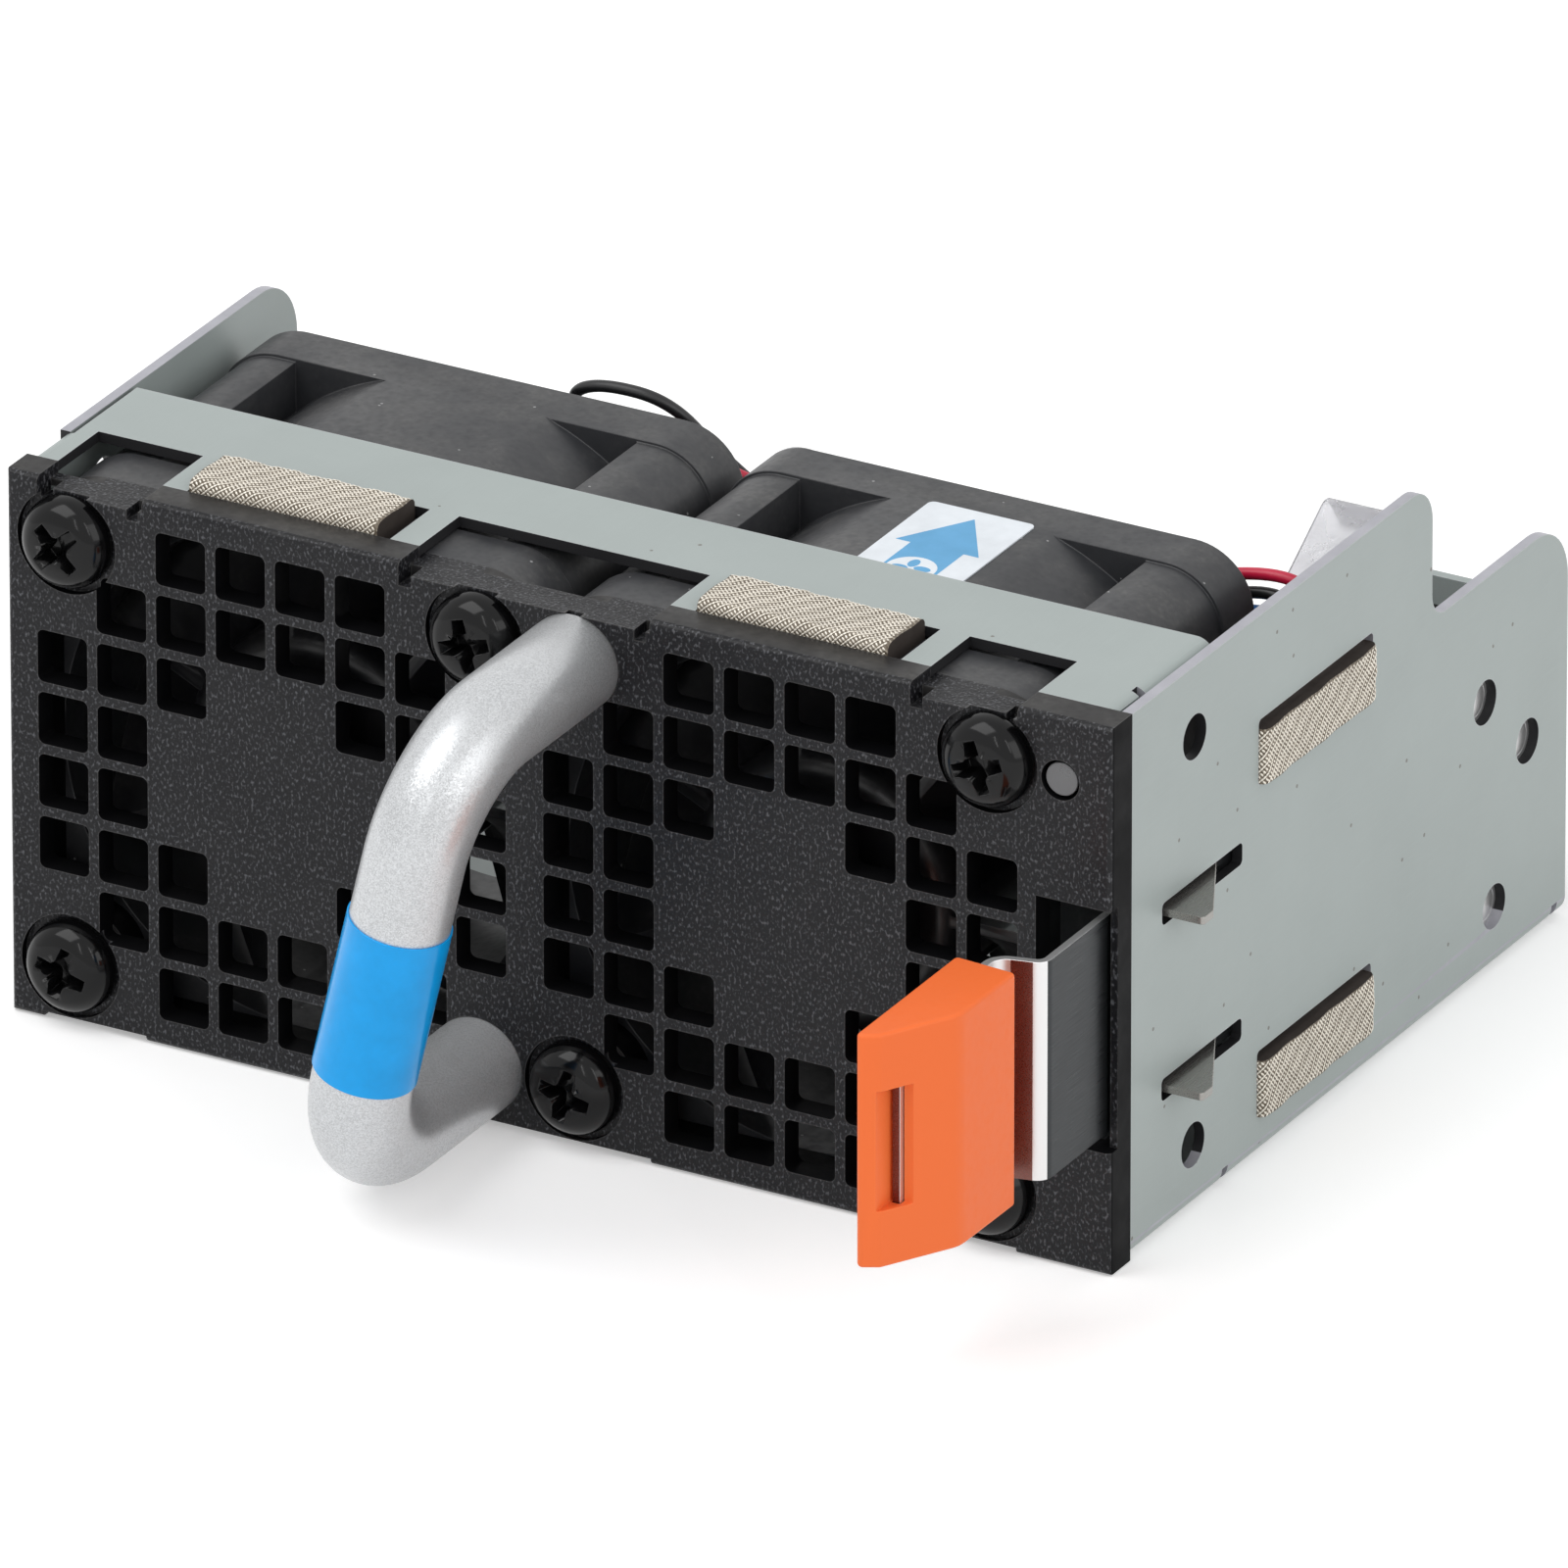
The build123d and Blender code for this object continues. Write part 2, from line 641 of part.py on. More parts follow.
def side_gasket(z):
    """Foam strip stuck inside the wall, standing out through its slot."""
    y = (SIDE_GASKET_Y[0] + 0.1, SIDE_GASKET_Y[1] - 0.1)
    nose = block((WALL - SIDE_GASKET_BASE, HALF + SIDE_GASKET_PROUD), y, (z[0] + 0.1, z[1] - SIDE_GASKET_GAP))
    front = nose.edges().filter_by(Axis.Z).group_by(Axis.X)[-1]
    nose = fillet(front, GASKET_EDGE)
    lap = SIDE_GASKET_LAP
    base_y = (SIDE_GASKET_Y[0] - lap, SIDE_GASKET_Y[1] + lap)
    base = block((WALL - SIDE_GASKET_BASE, WALL), base_y, (z[0] - lap, z[1] + lap))
    return nose + base


# Small pieces


def light_pipe():
    """Clear rod through the panel with a collar behind it."""
    pipe = rod(LIGHT_PIPE_X, LIGHT_PIPE_Z, LIGHT_PIPE / 2, (LIGHT_PIPE_SINK, LIGHT_PIPE_LENGTH))
    return pipe + rod(LIGHT_PIPE_X, LIGHT_PIPE_Z, LIGHT_PIPE_COLLAR / 2, (PLATE, PLATE + 1.0))


def airflow_label():
    """Thin label on the flat middle of the right fan's top."""
    y = (FAN_BACK - LABEL_BACK - LABEL_LENGTH, FAN_BACK - LABEL_BACK)
    return block(around(RIGHT_X + LABEL_OFFSET, LABEL_WIDTH), y, (FAN_TOP, FAN_TOP + LABEL))


def lead_guard():
    """Clear film on the right wall, folded over the leads behind the fan."""
    flap = strip([FILM_FOOT, FILM_PEAK, FILM_END], FILM, 1.2, Side.RIGHT)
    guard = along_x(flap, (WALL - FILM_WIDTH, WALL - 0.1))
    wall_y = (BRIDGE_BACK + 0.7, RIGHT_WALL_TOP)
    low = SIDE_GASKET_Z[1][1] + SIDE_GASKET_LAP + 0.3
    return guard + block((WALL - FILM, WALL), wall_y, (low, HEIGHT - 0.3))


# Connector


def bracket_x():
    """Faces of the bracket plate that stands off the right wall."""
    return (WALL - BARREL_LENGTH - SHEET, WALL - BARREL_LENGTH)


def connector_middle():
    """Centre of the connector in X and Z."""
    return (bracket_x()[0] - CONNECTOR_GAP - CONNECTOR[0] / 2, sum(BRACKET_Z) / 2)


def connector_bracket():
    """Bent plate that holds the connector, open to the back through a window."""
    x_low, x_high = bracket_x()
    plan = [(x_high, BRACKET_Y[0]), (x_high, BRACKET_Y[1]), (x_high - BRACKET_REACH, BRACKET_Y[1])]
    plate = along_z(strip(plan, SHEET, BEND), BRACKET_Z)
    middle_x, middle_z = connector_middle()
    window = (around(middle_x, CONNECTOR[0] + 2 * HOLE_FIT), around(middle_z, CONNECTOR[2] + 2 * HOLE_FIT))
    plate -= block(window[0], (BRACKET_Y[1] - 2, BRACKET_Y[1] + 1), window[1])
    for y, z in REAR_HOLES:
        hole = Pos(y, z) * Circle(BRACKET_SCREW / 2 + HOLE_FIT)
        plate -= along_x(hole, (x_low - 1, x_high + 1))
    return plate


def standoff_barrels():
    """Threaded barrels pressed into the wall, which carry the bracket."""
    ring = Circle(BARREL / 2) - Circle(BRACKET_SCREW / 2 + HOLE_FIT)
    return [along_x(Pos(y, z) * ring, (WALL - BARREL_LENGTH, WALL)) for y, z in REAR_HOLES]


def bracket_screws():
    """Screws from the inside through the bracket into the barrels."""
    length = SHEET + BARREL_LENGTH
    screw = pan_screw(BRACKET_SCREW_HEAD, BRACKET_SCREW_HEAD_HEIGHT, BRACKET_SCREW, length)
    seat = bracket_x()[0]
    return [Pos(seat, y, z) * Rot(0, 0, -90) * screw for y, z in REAR_HOLES]


def connector_housing():
    """Plug housing that looks out of the back through the bracket."""
    middle_x, middle_z = connector_middle()
    back = BRACKET_Y[1] + CONNECTOR_PROUD
    width, depth, height = CONNECTOR
    body = block(around(middle_x, width), (back - depth, back), around(middle_z, height))
    flange_y = (BRACKET_Y[1] - SHEET - CONNECTOR_FLANGE, BRACKET_Y[1] - SHEET)
    body += block(around(middle_x, width + 1.0), flange_y, around(middle_z, height + 4.0))
    cavity = block(around(middle_x, width - 2.4), (back - CONTACT_LENGTH - 1, back + 1), around(middle_z, height - 2.0))
    body -= cavity
    for x, z in contact_places():
        body -= block(around(x, CONTACT + 0.1), (0, back), around(z, CONTACT + 0.1))
    return body


def contact_places():
    """Centres of the contacts in X and Z."""
    middle_x, middle_z = connector_middle()
    columns = [(c - (CONTACT_COLUMNS - 1) / 2) * CONTACT_PITCH for c in range(CONTACT_COLUMNS)]
    rows = [(r - (CONTACT_ROWS - 1) / 2) * CONTACT_PITCH for r in range(CONTACT_ROWS)]
    return [(middle_x + c, middle_z + r) for c in columns for r in rows]


def connector_contacts():
    """Square pins in the plug's cavity."""
    back = BRACKET_Y[1] + CONNECTOR_PROUD
    front = back - CONNECTOR[1]
    return [
        block(around(x, CONTACT), (front + 1.5, back - 1.0), around(z, CONTACT))
        for x, z in contact_places()
    ]


# Fans


def fan_section():
    """Section of a fan frame between its flanges: barrel with flat sides, and corner columns."""
    side = FAN - 2 * COLUMN_STEP
    square = RectangleRounded(side, side, FAN_CORNER - COLUMN_STEP)
    column_edge = FAN / 2 - COLUMN
    section = Rectangle(FAN, FAN) & Circle(BARREL_RADIUS)
    for x in (-1, 1):
        for z in (-1, 1):
            reach = side / 2 - column_edge
            corner = Pos(x * (column_edge + reach / 2), z * (column_edge + reach / 2)) * Rectangle(reach, reach)
            section += corner & square
    return section - Circle(BORE / 2)


def fan_frame(x):
    """Fan housing with two flanges, a venturi barrel, struts and the bearing tube."""
    flange = RectangleRounded(FAN, FAN, FAN_CORNER) - Circle(BORE / 2)
    place = Pos(x, FAN_Z)
    frame = along_y(place * flange, (FAN_FRONT, FAN_FRONT + FLANGE))
    frame += along_y(place * flange, (FAN_BACK - FLANGE, FAN_BACK))
    frame += along_y(place * fan_section(), (FAN_FRONT + FLANGE, FAN_BACK - FLANGE))
    for across, up in CORNERS:
        frame -= rod(x + across, FAN_Z + up, FAN_HOLE / 2, (FAN_FRONT - 1, FAN_BACK + 1))
    frame += motor_mount(x)
    return frame


def motor_mount(x):
    """Base plate on struts at the fan's back, with the tube that holds the bearings."""
    back = FAN_BACK - 0.4
    base_front = back - BASE
    tube_outer = BEARING / 2 + TUBE_WALL
    mount = rod(x, FAN_Z, HUB / 2, (base_front, back))
    mount += tube(x, FAN_Z, HUB / 2, HUB / 2 - 0.9, (back - STRUT_DEPTH + 0.6, back))
    mount += rod(x, FAN_Z, tube_outer, (FAN_FRONT + TUBE_START, back))
    reach = BORE / 2 + 0.3 - HUB / 2 + 0.4
    middle = HUB / 2 - 0.4 + reach / 2
    for index in range(STRUTS):
        angle = 45 + index * 360 / STRUTS
        width = LEAD_STRUT if index == 0 else STRUT
        bar = Rot(0, 0, angle) * Pos(middle, 0) * Rectangle(reach, width)
        mount += along_y(Pos(x, FAN_Z) * bar, (back - STRUT_DEPTH, back))
    channel_reach = reach + 6.0
    channel = Rot(0, 0, 45) * Pos(middle + 1.0, 0) * Rectangle(channel_reach, LEAD_STRUT - 1.0)
    mount -= along_y(Pos(x, FAN_Z) * channel, (back - LEAD - 0.2, back + 1))
    mount -= rod(x, FAN_Z, BEARING / 2, (FAN_FRONT + TUBE_START - 1, base_front))
    return mount


def bearings(x):
    """Two ball bearings in the fan's tube, drawn as plain rings."""
    front = FAN_FRONT + TUBE_START + 0.2
    rear = FAN_BACK - 0.4 - BASE - BEARING_WIDTH - 0.6
    inner = SHAFT / 2 + SHAFT_FIT
    outer = BEARING / 2
    return [tube(x, FAN_Z, outer, inner, (y, y + BEARING_WIDTH)) for y in (front, rear)]


def stator_core(x):
    """Laminated core with its poles, pressed on the bearing tube."""
    inner = BEARING / 2 + TUBE_WALL
    y = (FAN_FRONT + STATOR_START, FAN_FRONT + STATOR_START + STATOR_LENGTH)
    core = Circle(inner + 1.0)
    for index in range(POLES):
        turn = Rot(0, 0, index * 360 / POLES + 45)
        core += turn * Pos(STATOR / 4, 0) * Rectangle(STATOR / 2 - 0.6, 1.8)
        shoe = (Circle(STATOR / 2) - Circle(STATOR / 2 - 1.0)) & (Pos(STATOR / 2, 0) * Rectangle(6, 8.4))
        core += turn * shoe
    core -= Circle(inner)
    return along_y(Pos(x, FAN_Z) * core, y)


def stator_coils(x):
    """Winding on each pole."""
    inner = BEARING / 2 + TUBE_WALL + 1.4
    outer = STATOR / 2 - 1.3
    y = (FAN_FRONT + STATOR_START - COIL_END, FAN_FRONT + STATOR_START + STATOR_LENGTH + COIL_END)
    pole = block((inner - 1, outer + 1), (y[0] + COIL_END, y[1] - COIL_END), around(0, 1.8))
    coil = block((inner, outer), y, around(0, 3.4)) - pole
    return [
        Pos(x, 0, FAN_Z) * Rot(0, -(index * 360 / POLES + 45), 0) * coil
        for index in range(POLES)
    ]


def motor_board(x):
    """Round circuit board on the fan's base plate."""
    back = FAN_BACK - 0.4 - BASE
    inner = BEARING / 2 + TUBE_WALL + HOLE_FIT
    return tube(x, FAN_Z, HUB / 2 - 0.9 - 0.2, inner, (back - BOARD, back))


def blade(x):
    """One blade, a radial strip that turns as it runs back."""
    inner = HUB / 2 - 0.5
    outer = BORE / 2 - TIP_GAP
    strip_face = Pos((inner + outer) / 2, 0) * Rectangle(outer - inner, BLADE_THICKNESS)
    sections = []
    steps = 4
    for index in range(steps + 1):
        share = index / steps
        turn = BLADE_SWEEP * (0.7 * share + 0.3 * share**2)
        y = FAN_FRONT + BLADE_START + BLADE_LENGTH * share
        sections.append(Plane.XZ.offset(-y) * Pos(x, FAN_Z) * Rot(0, 0, turn) * strip_face)
    return loft(sections)


def impeller(x):
    """Hub cup with its blades and the boss that holds the shaft."""
    start = FAN_FRONT + HUB_START
    end = start + HUB_LENGTH
    cup = rod(x, FAN_Z, HUB / 2, (start, end))
    cup = fillet(cup.faces().sort_by(Axis.Y)[0].edges(), 1.6)
    cup -= rod(x, FAN_Z, HUB / 2 - HUB_WALL, (start + 1.6, end + 1))
    cup += rod(x, FAN_Z, SHAFT / 2 + 1.4, (start + 1.0, FAN_FRONT + TUBE_START - 1.0))
    one = blade(x)
    axis = Axis((x, 0, FAN_Z), (0, 1, 0))
    for index in range(BLADES):
        cup += one.rotate(axis, index * 360 / BLADES)
    cup -= rod(x, FAN_Z, SHAFT / 2, (start + 0.8, end))
    return cup


def rotor_shaft(x):
    """Steel shaft pressed into the hub."""
    return rod(x, FAN_Z, SHAFT / 2, (FAN_FRONT + HUB_START + 0.8, FAN_BACK - 0.4 - BASE - 0.4))


def rotor_yoke(x):
    """Steel ring pressed into the hub, round the magnet."""
    outer = HUB / 2 - HUB_WALL
    y = (FAN_FRONT + MAGNET_START - 0.5, FAN_FRONT + MAGNET_START + MAGNET_LENGTH + 0.5)
    return tube(x, FAN_Z, outer, outer - YOKE, y)


def rotor_magnet(x):
    """Magnet ring inside the yoke."""
    outer = HUB / 2 - HUB_WALL - YOKE
    y = (FAN_FRONT + MAGNET_START, FAN_FRONT + MAGNET_START + MAGNET_LENGTH)
    return tube(x, FAN_Z, outer, outer - MAGNET, y)


# Leads


def lead(points):
    """Round lead along straight runs that are joined by tangent arcs."""
    corners = [Vector(*point) for point in points]
    radii = []
    for before, at, after in zip(corners, corners[1:], corners[2:]):
        run_in, run_out = at - before, after - at
        half_turn = math.radians(run_in.get_angle(run_out)) / 2
        radii.append(0.45 * min(run_in.length, run_out.length) / math.tan(half_turn))
    print("radii", [round(radius, 1) for radius in radii])
    path = FilletPolyline(*points, radius=radii)
    start = Plane(origin=path @ 0, z_dir=path % 0)
    return sweep(start * Circle(LEAD / 2), path=path)


def channel_run(x, lane):
    """Two ends of a lead in its strut's channel, from the motor out to the frame."""
    across = lane * LEAD_STEP
    diagonal = math.sqrt(0.5)
    y = FAN_BACK - 0.4 - LEAD / 2 - 0.1
    points = []
    for radius in (HUB / 2 - 1.5, BORE / 2 - 2.0):
        along = radius * diagonal
        points.append((x + along - across * diagonal, y, FAN_Z + along + across * diagonal))
    return points


def plug_end(lane, row):
    """Last two points of a lead, straight into the back of the plug."""
    middle_x, middle_z = connector_middle()
    front = BRACKET_Y[1] + CONNECTOR_PROUD - CONNECTOR[1]
    x = middle_x + row * CONTACT_PITCH / 2
    z = middle_z + lane * CONTACT_PITCH
    return [(x, front - 5.0, z), (x, front, z)]


def left_lead(route, lane):
    """Lead of the left fan, behind both fans to the plug's near column."""
    middle = [(LEFT_X + x, FAN_BACK + y, FAN_Z + z) for x, y, z in route]
    return lead(channel_run(LEFT_X, lane) + middle + plug_end(lane, -1))


def right_lead(lane):
    """Lead of the right fan: out at the top corner, down the side channel and back."""
    beside = 1.2 * lane
    lift = 1.5 * lane
    return lead(channel_run(RIGHT_X, lane) + [
        (RIGHT_X + 14.4 - 0.6 * lane, FAN_BACK + 2.6, FAN_Z + 14.6 + lift),
        (RIGHT_X + 21.9 + beside, FAN_BACK + 3.0, FAN_Z + 16.2 + lift),
        (RIGHT_X + 21.9 + beside, FAN_BACK + 4.4, FAN_Z + 10.0 + lift),
    ] + plug_end(lane, 1))


# Middle points of the left fan's leads, from the middle of that fan's back
LEFT_BLACK = [
    (12.35, 2.2, 12.7),
    (9.75, 4.0, 15.3),
    (5.75, 2.9, 16.5),
    (4.55, 2.2, 18.9),
    (7.35, 2.0, 20.3),
    (12.55, 2.8, 19.7),
    (14.95, 5.8, 14.6),
    (24.75, 9.0, 6.1),
    (42.75, 12.0, -3.4),
]
LEFT_RED = [
    (13.55, 2.4, 15.0),
    (18.25, 3.0, 15.6),
    (26.75, 4.5, 10.1),
    (42.75, 10.0, 0.1),
]
LEFT_BLUE = [
    (14.95, 2.2, 13.1),
    (19.25, 3.0, 12.5),
    (26.75, 4.5, 7.6),
    (42.75, 9.0, -5.9),
]
LANES = {"blue": -1, "black": 0, "red": 1}
LEFT_ROUTES = {"blue": LEFT_BLUE, "black": LEFT_BLACK, "red": LEFT_RED}


def main():
    """Builds and writes every piece."""
    os.makedirs("parts", exist_ok=True)
    write("chassis", chassis())
    write("front_panel", front_panel())
    write("panel_screws", *panel_screws())
    write("handle", handle())
    write("handle_band", handle_band())
    write("handle_screws", *handle_screws())
    write("latch_leaf", latch_leaf())
    write("latch_root", latch_root())
    write("latch_tab", latch_tab())
    write("gasket_top_left", top_gasket(GASKET_ZONES[0]))
    write("gasket_top_right", top_gasket(GASKET_ZONES[1]))
    write("gasket_side_lower", side_gasket(SIDE_GASKET_Z[0]))
    write("gasket_side_upper", side_gasket(SIDE_GASKET_Z[1]))
    write("light_pipe", light_pipe())
    write("airflow_label", airflow_label())
    write("lead_guard", lead_guard())
    write("connector_bracket", connector_bracket())
    write("standoff_barrels", *standoff_barrels())
    write("bracket_screws", *bracket_screws())
    write("connector_housing", connector_housing())
    write("connector_contacts", *connector_contacts())
    for side, x in FANS.items():
        write(f"fan_frame_{side}", fan_frame(x))
        write(f"bearings_{side}", *bearings(x))
        write(f"stator_core_{side}", stator_core(x))
        write(f"stator_coils_{side}", *stator_coils(x))
        write(f"motor_board_{side}", motor_board(x))
        write(f"impeller_{side}", impeller(x))
        write(f"rotor_shaft_{side}", rotor_shaft(x))
        write(f"rotor_yoke_{side}", rotor_yoke(x))
        write(f"rotor_magnet_{side}", rotor_magnet(x))
    for colour, lane in LANES.items():
        write(f"lead_left_{colour}", left_lead(LEFT_ROUTES[colour], lane))
        write(f"lead_right_{colour}", right_lead(lane))


main()
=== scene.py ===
"""Hot-swap fan module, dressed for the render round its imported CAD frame."""

from __future__ import annotations

import json
import logging
import math
from dataclasses import dataclass, field
from enum import Enum
from typing import Callable

import bmesh
import bpy
import numpy as np
from mathutils import Matrix, Vector
from mathutils.bvhtree import BVHTree

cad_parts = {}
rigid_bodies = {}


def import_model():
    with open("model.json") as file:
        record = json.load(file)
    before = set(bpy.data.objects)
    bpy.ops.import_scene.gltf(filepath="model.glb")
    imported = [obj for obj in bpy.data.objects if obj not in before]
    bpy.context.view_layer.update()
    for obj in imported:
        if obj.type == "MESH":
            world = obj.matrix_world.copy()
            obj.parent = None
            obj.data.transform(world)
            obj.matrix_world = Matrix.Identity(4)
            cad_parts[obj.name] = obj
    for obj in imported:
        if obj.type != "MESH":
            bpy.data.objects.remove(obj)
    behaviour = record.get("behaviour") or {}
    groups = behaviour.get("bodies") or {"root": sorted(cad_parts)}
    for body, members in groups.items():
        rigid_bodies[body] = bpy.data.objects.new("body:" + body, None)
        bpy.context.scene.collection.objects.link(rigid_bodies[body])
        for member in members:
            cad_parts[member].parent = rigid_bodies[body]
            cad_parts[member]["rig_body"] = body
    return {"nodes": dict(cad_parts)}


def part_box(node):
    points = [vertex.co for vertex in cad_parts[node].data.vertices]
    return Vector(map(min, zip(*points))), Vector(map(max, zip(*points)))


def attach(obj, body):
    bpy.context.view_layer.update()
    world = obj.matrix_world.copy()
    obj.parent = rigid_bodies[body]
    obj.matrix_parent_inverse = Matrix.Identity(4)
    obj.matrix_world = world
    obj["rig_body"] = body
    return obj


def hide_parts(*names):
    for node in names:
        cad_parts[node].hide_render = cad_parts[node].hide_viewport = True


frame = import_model()

LOG = logging.getLogger("fan_module")
MM = 0.001
PANEL_FRONT = 35.0
SIDES = ("left", "right")
SAME_CORNER = 2e-7
SLACK = 0.05
SQUARE_TO = 0.99
ACROSS = 0.1
WHITE = (1, 1, 1, 1)

Colour = tuple[float, float, float]
Outline = list[tuple[float, float]]
Socket = bpy.types.NodeSocket
FaceChooser = Callable[[bmesh.types.BMFace], int]


def at(x: float, y: float, z: float) -> Vector:
    """Place in the row frame, in metres.

    Args:
        x: millimetres to the right of the module's middle.
        y: millimetres behind the panel's front face.
        z: millimetres above the tray's underside.

    Returns:
        The same place in metres from the row frame's origin.
    """
    return Vector((x, y - PANEL_FRONT, z)) * MM


def shade(red: int, green: int, blue: int) -> Colour:
    """Linear colour of a display colour.

    Args:
        red: 0 to 255 as displayed.
        green: 0 to 255 as displayed.
        blue: 0 to 255 as displayed.

    Returns:
        The three linear values that a shader takes.
    """
    shares = (part / 255 for part in (red, green, blue))
    return tuple(s / 12.92 if s <= 0.04045 else ((s + 0.055) / 1.055) ** 2.4 for s in shares)


# Node trees


@dataclass
class Board:
    """Node tree with short calls that add, set and join nodes."""

    tree: bpy.types.NodeTree

    def add(self, kind: str, **settings: object) -> bpy.types.Node:
        """Adds a node.

        Args:
            kind: Blender's name of the node type.
            settings: the node's own properties.

        Returns:
            The new node.
        """
        node = self.tree.nodes.new(kind)
        for name, value in settings.items():
            setattr(node, name, value)
        return node

    def feed(self, target: Socket, source: object) -> None:
        """Joins an output to an input, or types a value into it."""
        if isinstance(source, bpy.types.NodeSocket):
            self.tree.links.new(source, target)
        else:
            target.default_value = source

    def wire(self, node: bpy.types.Node, **sources: object) -> bpy.types.Node:
        """Feeds a node's inputs by name.

        Args:
            node: the node.
            sources: sockets or values by input name, with underscores for spaces.

        Returns:
            The same node.
        """
        for name, source in sources.items():
            self.feed(node.inputs[name.replace("_", " ")], source)
        return node

    def maths(self, operation: str, *sources: object) -> Socket:
        """Result of a maths node whose inputs are sockets or numbers."""
        node = self.add("ShaderNodeMath", operation=operation)
        for target, source in zip(node.inputs, sources):
            self.feed(target, source)
        return node.outputs[0]

    def vectors(self, operation: str, *sources: object) -> bpy.types.Node:
        """Vector maths node whose inputs are sockets or values."""
        node = self.add("ShaderNodeVectorMath", operation=operation)
        for target, source in zip(node.inputs, sources):
            self.feed(target, source)
        return node

    def part(self, value: Socket, index: int) -> Socket:
        """One axis of a vector, or one channel of a colour."""
        node = self.add("ShaderNodeSeparateColor" if value.type == "RGBA" else "ShaderNodeSeparateXYZ")
        self.feed(node.inputs[0], value)
        return node.outputs[index]

    def span(self, value: Socket, low: float, high: float, to: tuple[float, float] = (0.0, 1.0)) -> Socket:
        """Value stretched from one range to another and clamped there."""
        node = self.add("ShaderNodeMapRange")
        for target, source in zip(node.inputs, (value, low, high, *to)):
            self.feed(target, source)
        return node.outputs[0]

    def blend(self, share: object, first: object, second: object) -> Socket:
        """Colour between two colours.

        Args:
            share: 0 for the first, 1 for the second.
            first: colour or socket.
            second: colour or socket.

        Returns:
            The mixed colour's socket.
        """
        node = self.add("ShaderNodeMix", data_type="RGBA")
        colours = [socket for socket in node.inputs if socket.type == "RGBA"]
        self.feed(node.inputs[0], share)
        for target, source in zip(colours, (first, second)):
            self.feed(target, (*source, 1.0) if isinstance(source, tuple) else source)
        return next(socket for socket in node.outputs if socket.type == "RGBA")

    def place(self) -> Socket:
        """Object coordinates of the piece."""
        return self.add("ShaderNodeTexCoord").outputs["Object"]

    def facing(self) -> Socket:
        """Normal of the surface."""
        return self.add("ShaderNodeNewGeometry").outputs["Normal"]

    def noise(self, place: Socket, size: float, detail: float = 3.0, rough: float = 0.5) -> Socket:
        """Soft noise whose blots are about as wide as size, in metres."""
        node = self.add("ShaderNodeTexNoise")
        self.wire(node, Vector=place, Scale=1 / size, Detail=detail, Roughness=rough)
        return node.outputs["Fac"]

    def cells(self, place: Socket, scale: Socket, feature: str = "F1") -> bpy.types.Node:
        """Cell texture with a number of cells per metre."""
        return self.wire(self.add("ShaderNodeTexVoronoi", feature=feature), Vector=place, Scale=scale)

    def scaled(self, place: Socket, scale: tuple[float, float, float]) -> Socket:
        """Coordinates stretched along the three axes."""
        return self.wire(self.add("ShaderNodeMapping"), Vector=place, Scale=scale).outputs["Vector"]

    def group(self, effect: "Effect", **sources: object) -> bpy.types.Node:
        """Places a shared effect and feeds its inputs by name."""
        return self.wire(self.add("ShaderNodeGroup", node_tree=effect.tree()), **sources)


class Effect(Enum):
    """Shader effects that several finishes share, each a node group built once."""

    PEBBLE = "Pebble grain"
    WEAR = "Edge wear"
    DUST = "Settled dust"
    WEAVE = "Plain weave"
    FLAKE = "Metal flake"
    ROLLING = "Rolling marks"

    def tree(self) -> bpy.types.NodeTree:
        """The effect's node group, built on first use."""
        made = bpy.data.node_groups.get(self.value)
        if made is None:
            made = bpy.data.node_groups.new(self.value, "ShaderNodeTree")
            EFFECT_BUILDERS[self](made)
        return made


def sockets(
    tree: bpy.types.NodeTree, inputs: dict[str, object], *outputs: str
) -> tuple[Board, bpy.types.NodeOutputs, bpy.types.Node]:
    """Gives a group its named inputs and outputs.

    Args:
        tree: the group's tree.
        inputs: default value by name; None makes a vector input.
        outputs: names of its outputs, of which Normal is a vector and the others are numbers.

    Returns:
        The board, the sockets that hold what the group is given, and the group's output node.
    """
    for name, value in inputs.items():
        kind = "NodeSocketVector" if value is None else "NodeSocketFloat"
        socket = tree.interface.new_socket(name, in_out="INPUT", socket_type=kind)
        if value is not None:
            socket.default_value = value
    for name in outputs:
        kind = "NodeSocketVector" if name == "Normal" else "NodeSocketFloat"
        tree.interface.new_socket(name, in_out="OUTPUT", socket_type=kind)
    board = Board(tree)
    return board, board.add("NodeGroupInput").outputs, board.add("NodeGroupOutput")


def build_pebble(tree: bpy.types.NodeTree) -> None:
    """Spark-eroded grain: pebbles of a stated size, a mask of their crests for a painted highlight, and a
    mask of a few grains for painted glints.
    """
    inputs = {"Place": None, "Size": 0.00035, "Glints": 0.02}
    board, given, result = sockets(tree, inputs, "Height", "Glint", "Crest")
    place = given["Place"]
    scale = board.maths("DIVIDE", 1.0, given["Size"])
    crests = board.add("ShaderNodeTexNoise")
    board.wire(crests, Vector=board.scaled(place, (1.0, 1.0, 0.6)), Scale=scale, Detail=1.5)
    pebbles = board.cells(place, scale, "SMOOTH_F1")
    soft = board.add("ShaderNodeTexNoise")
    board.wire(soft, Vector=place, Scale=board.maths("MULTIPLY", scale, 0.6))
    height = board.maths("MULTIPLY_ADD", pebbles.outputs["Distance"], -0.8, soft.outputs["Fac"])
    # Mask for painted glints on a few grains.
    spots = board.cells(place, board.maths("MULTIPLY", scale, 1.4))
    few = board.maths("LESS_THAN", board.part(spots.outputs["Color"], 0), given["Glints"])
    near = board.maths("LESS_THAN", spots.outputs["Distance"], 0.3)
    # Crest mask, for a painted highlight on the grain.
    crest = board.span(crests.outputs["Fac"], 0.54, 0.72)
    board.wire(result, Height=height, Glint=board.maths("MULTIPLY", few, near), Crest=crest)


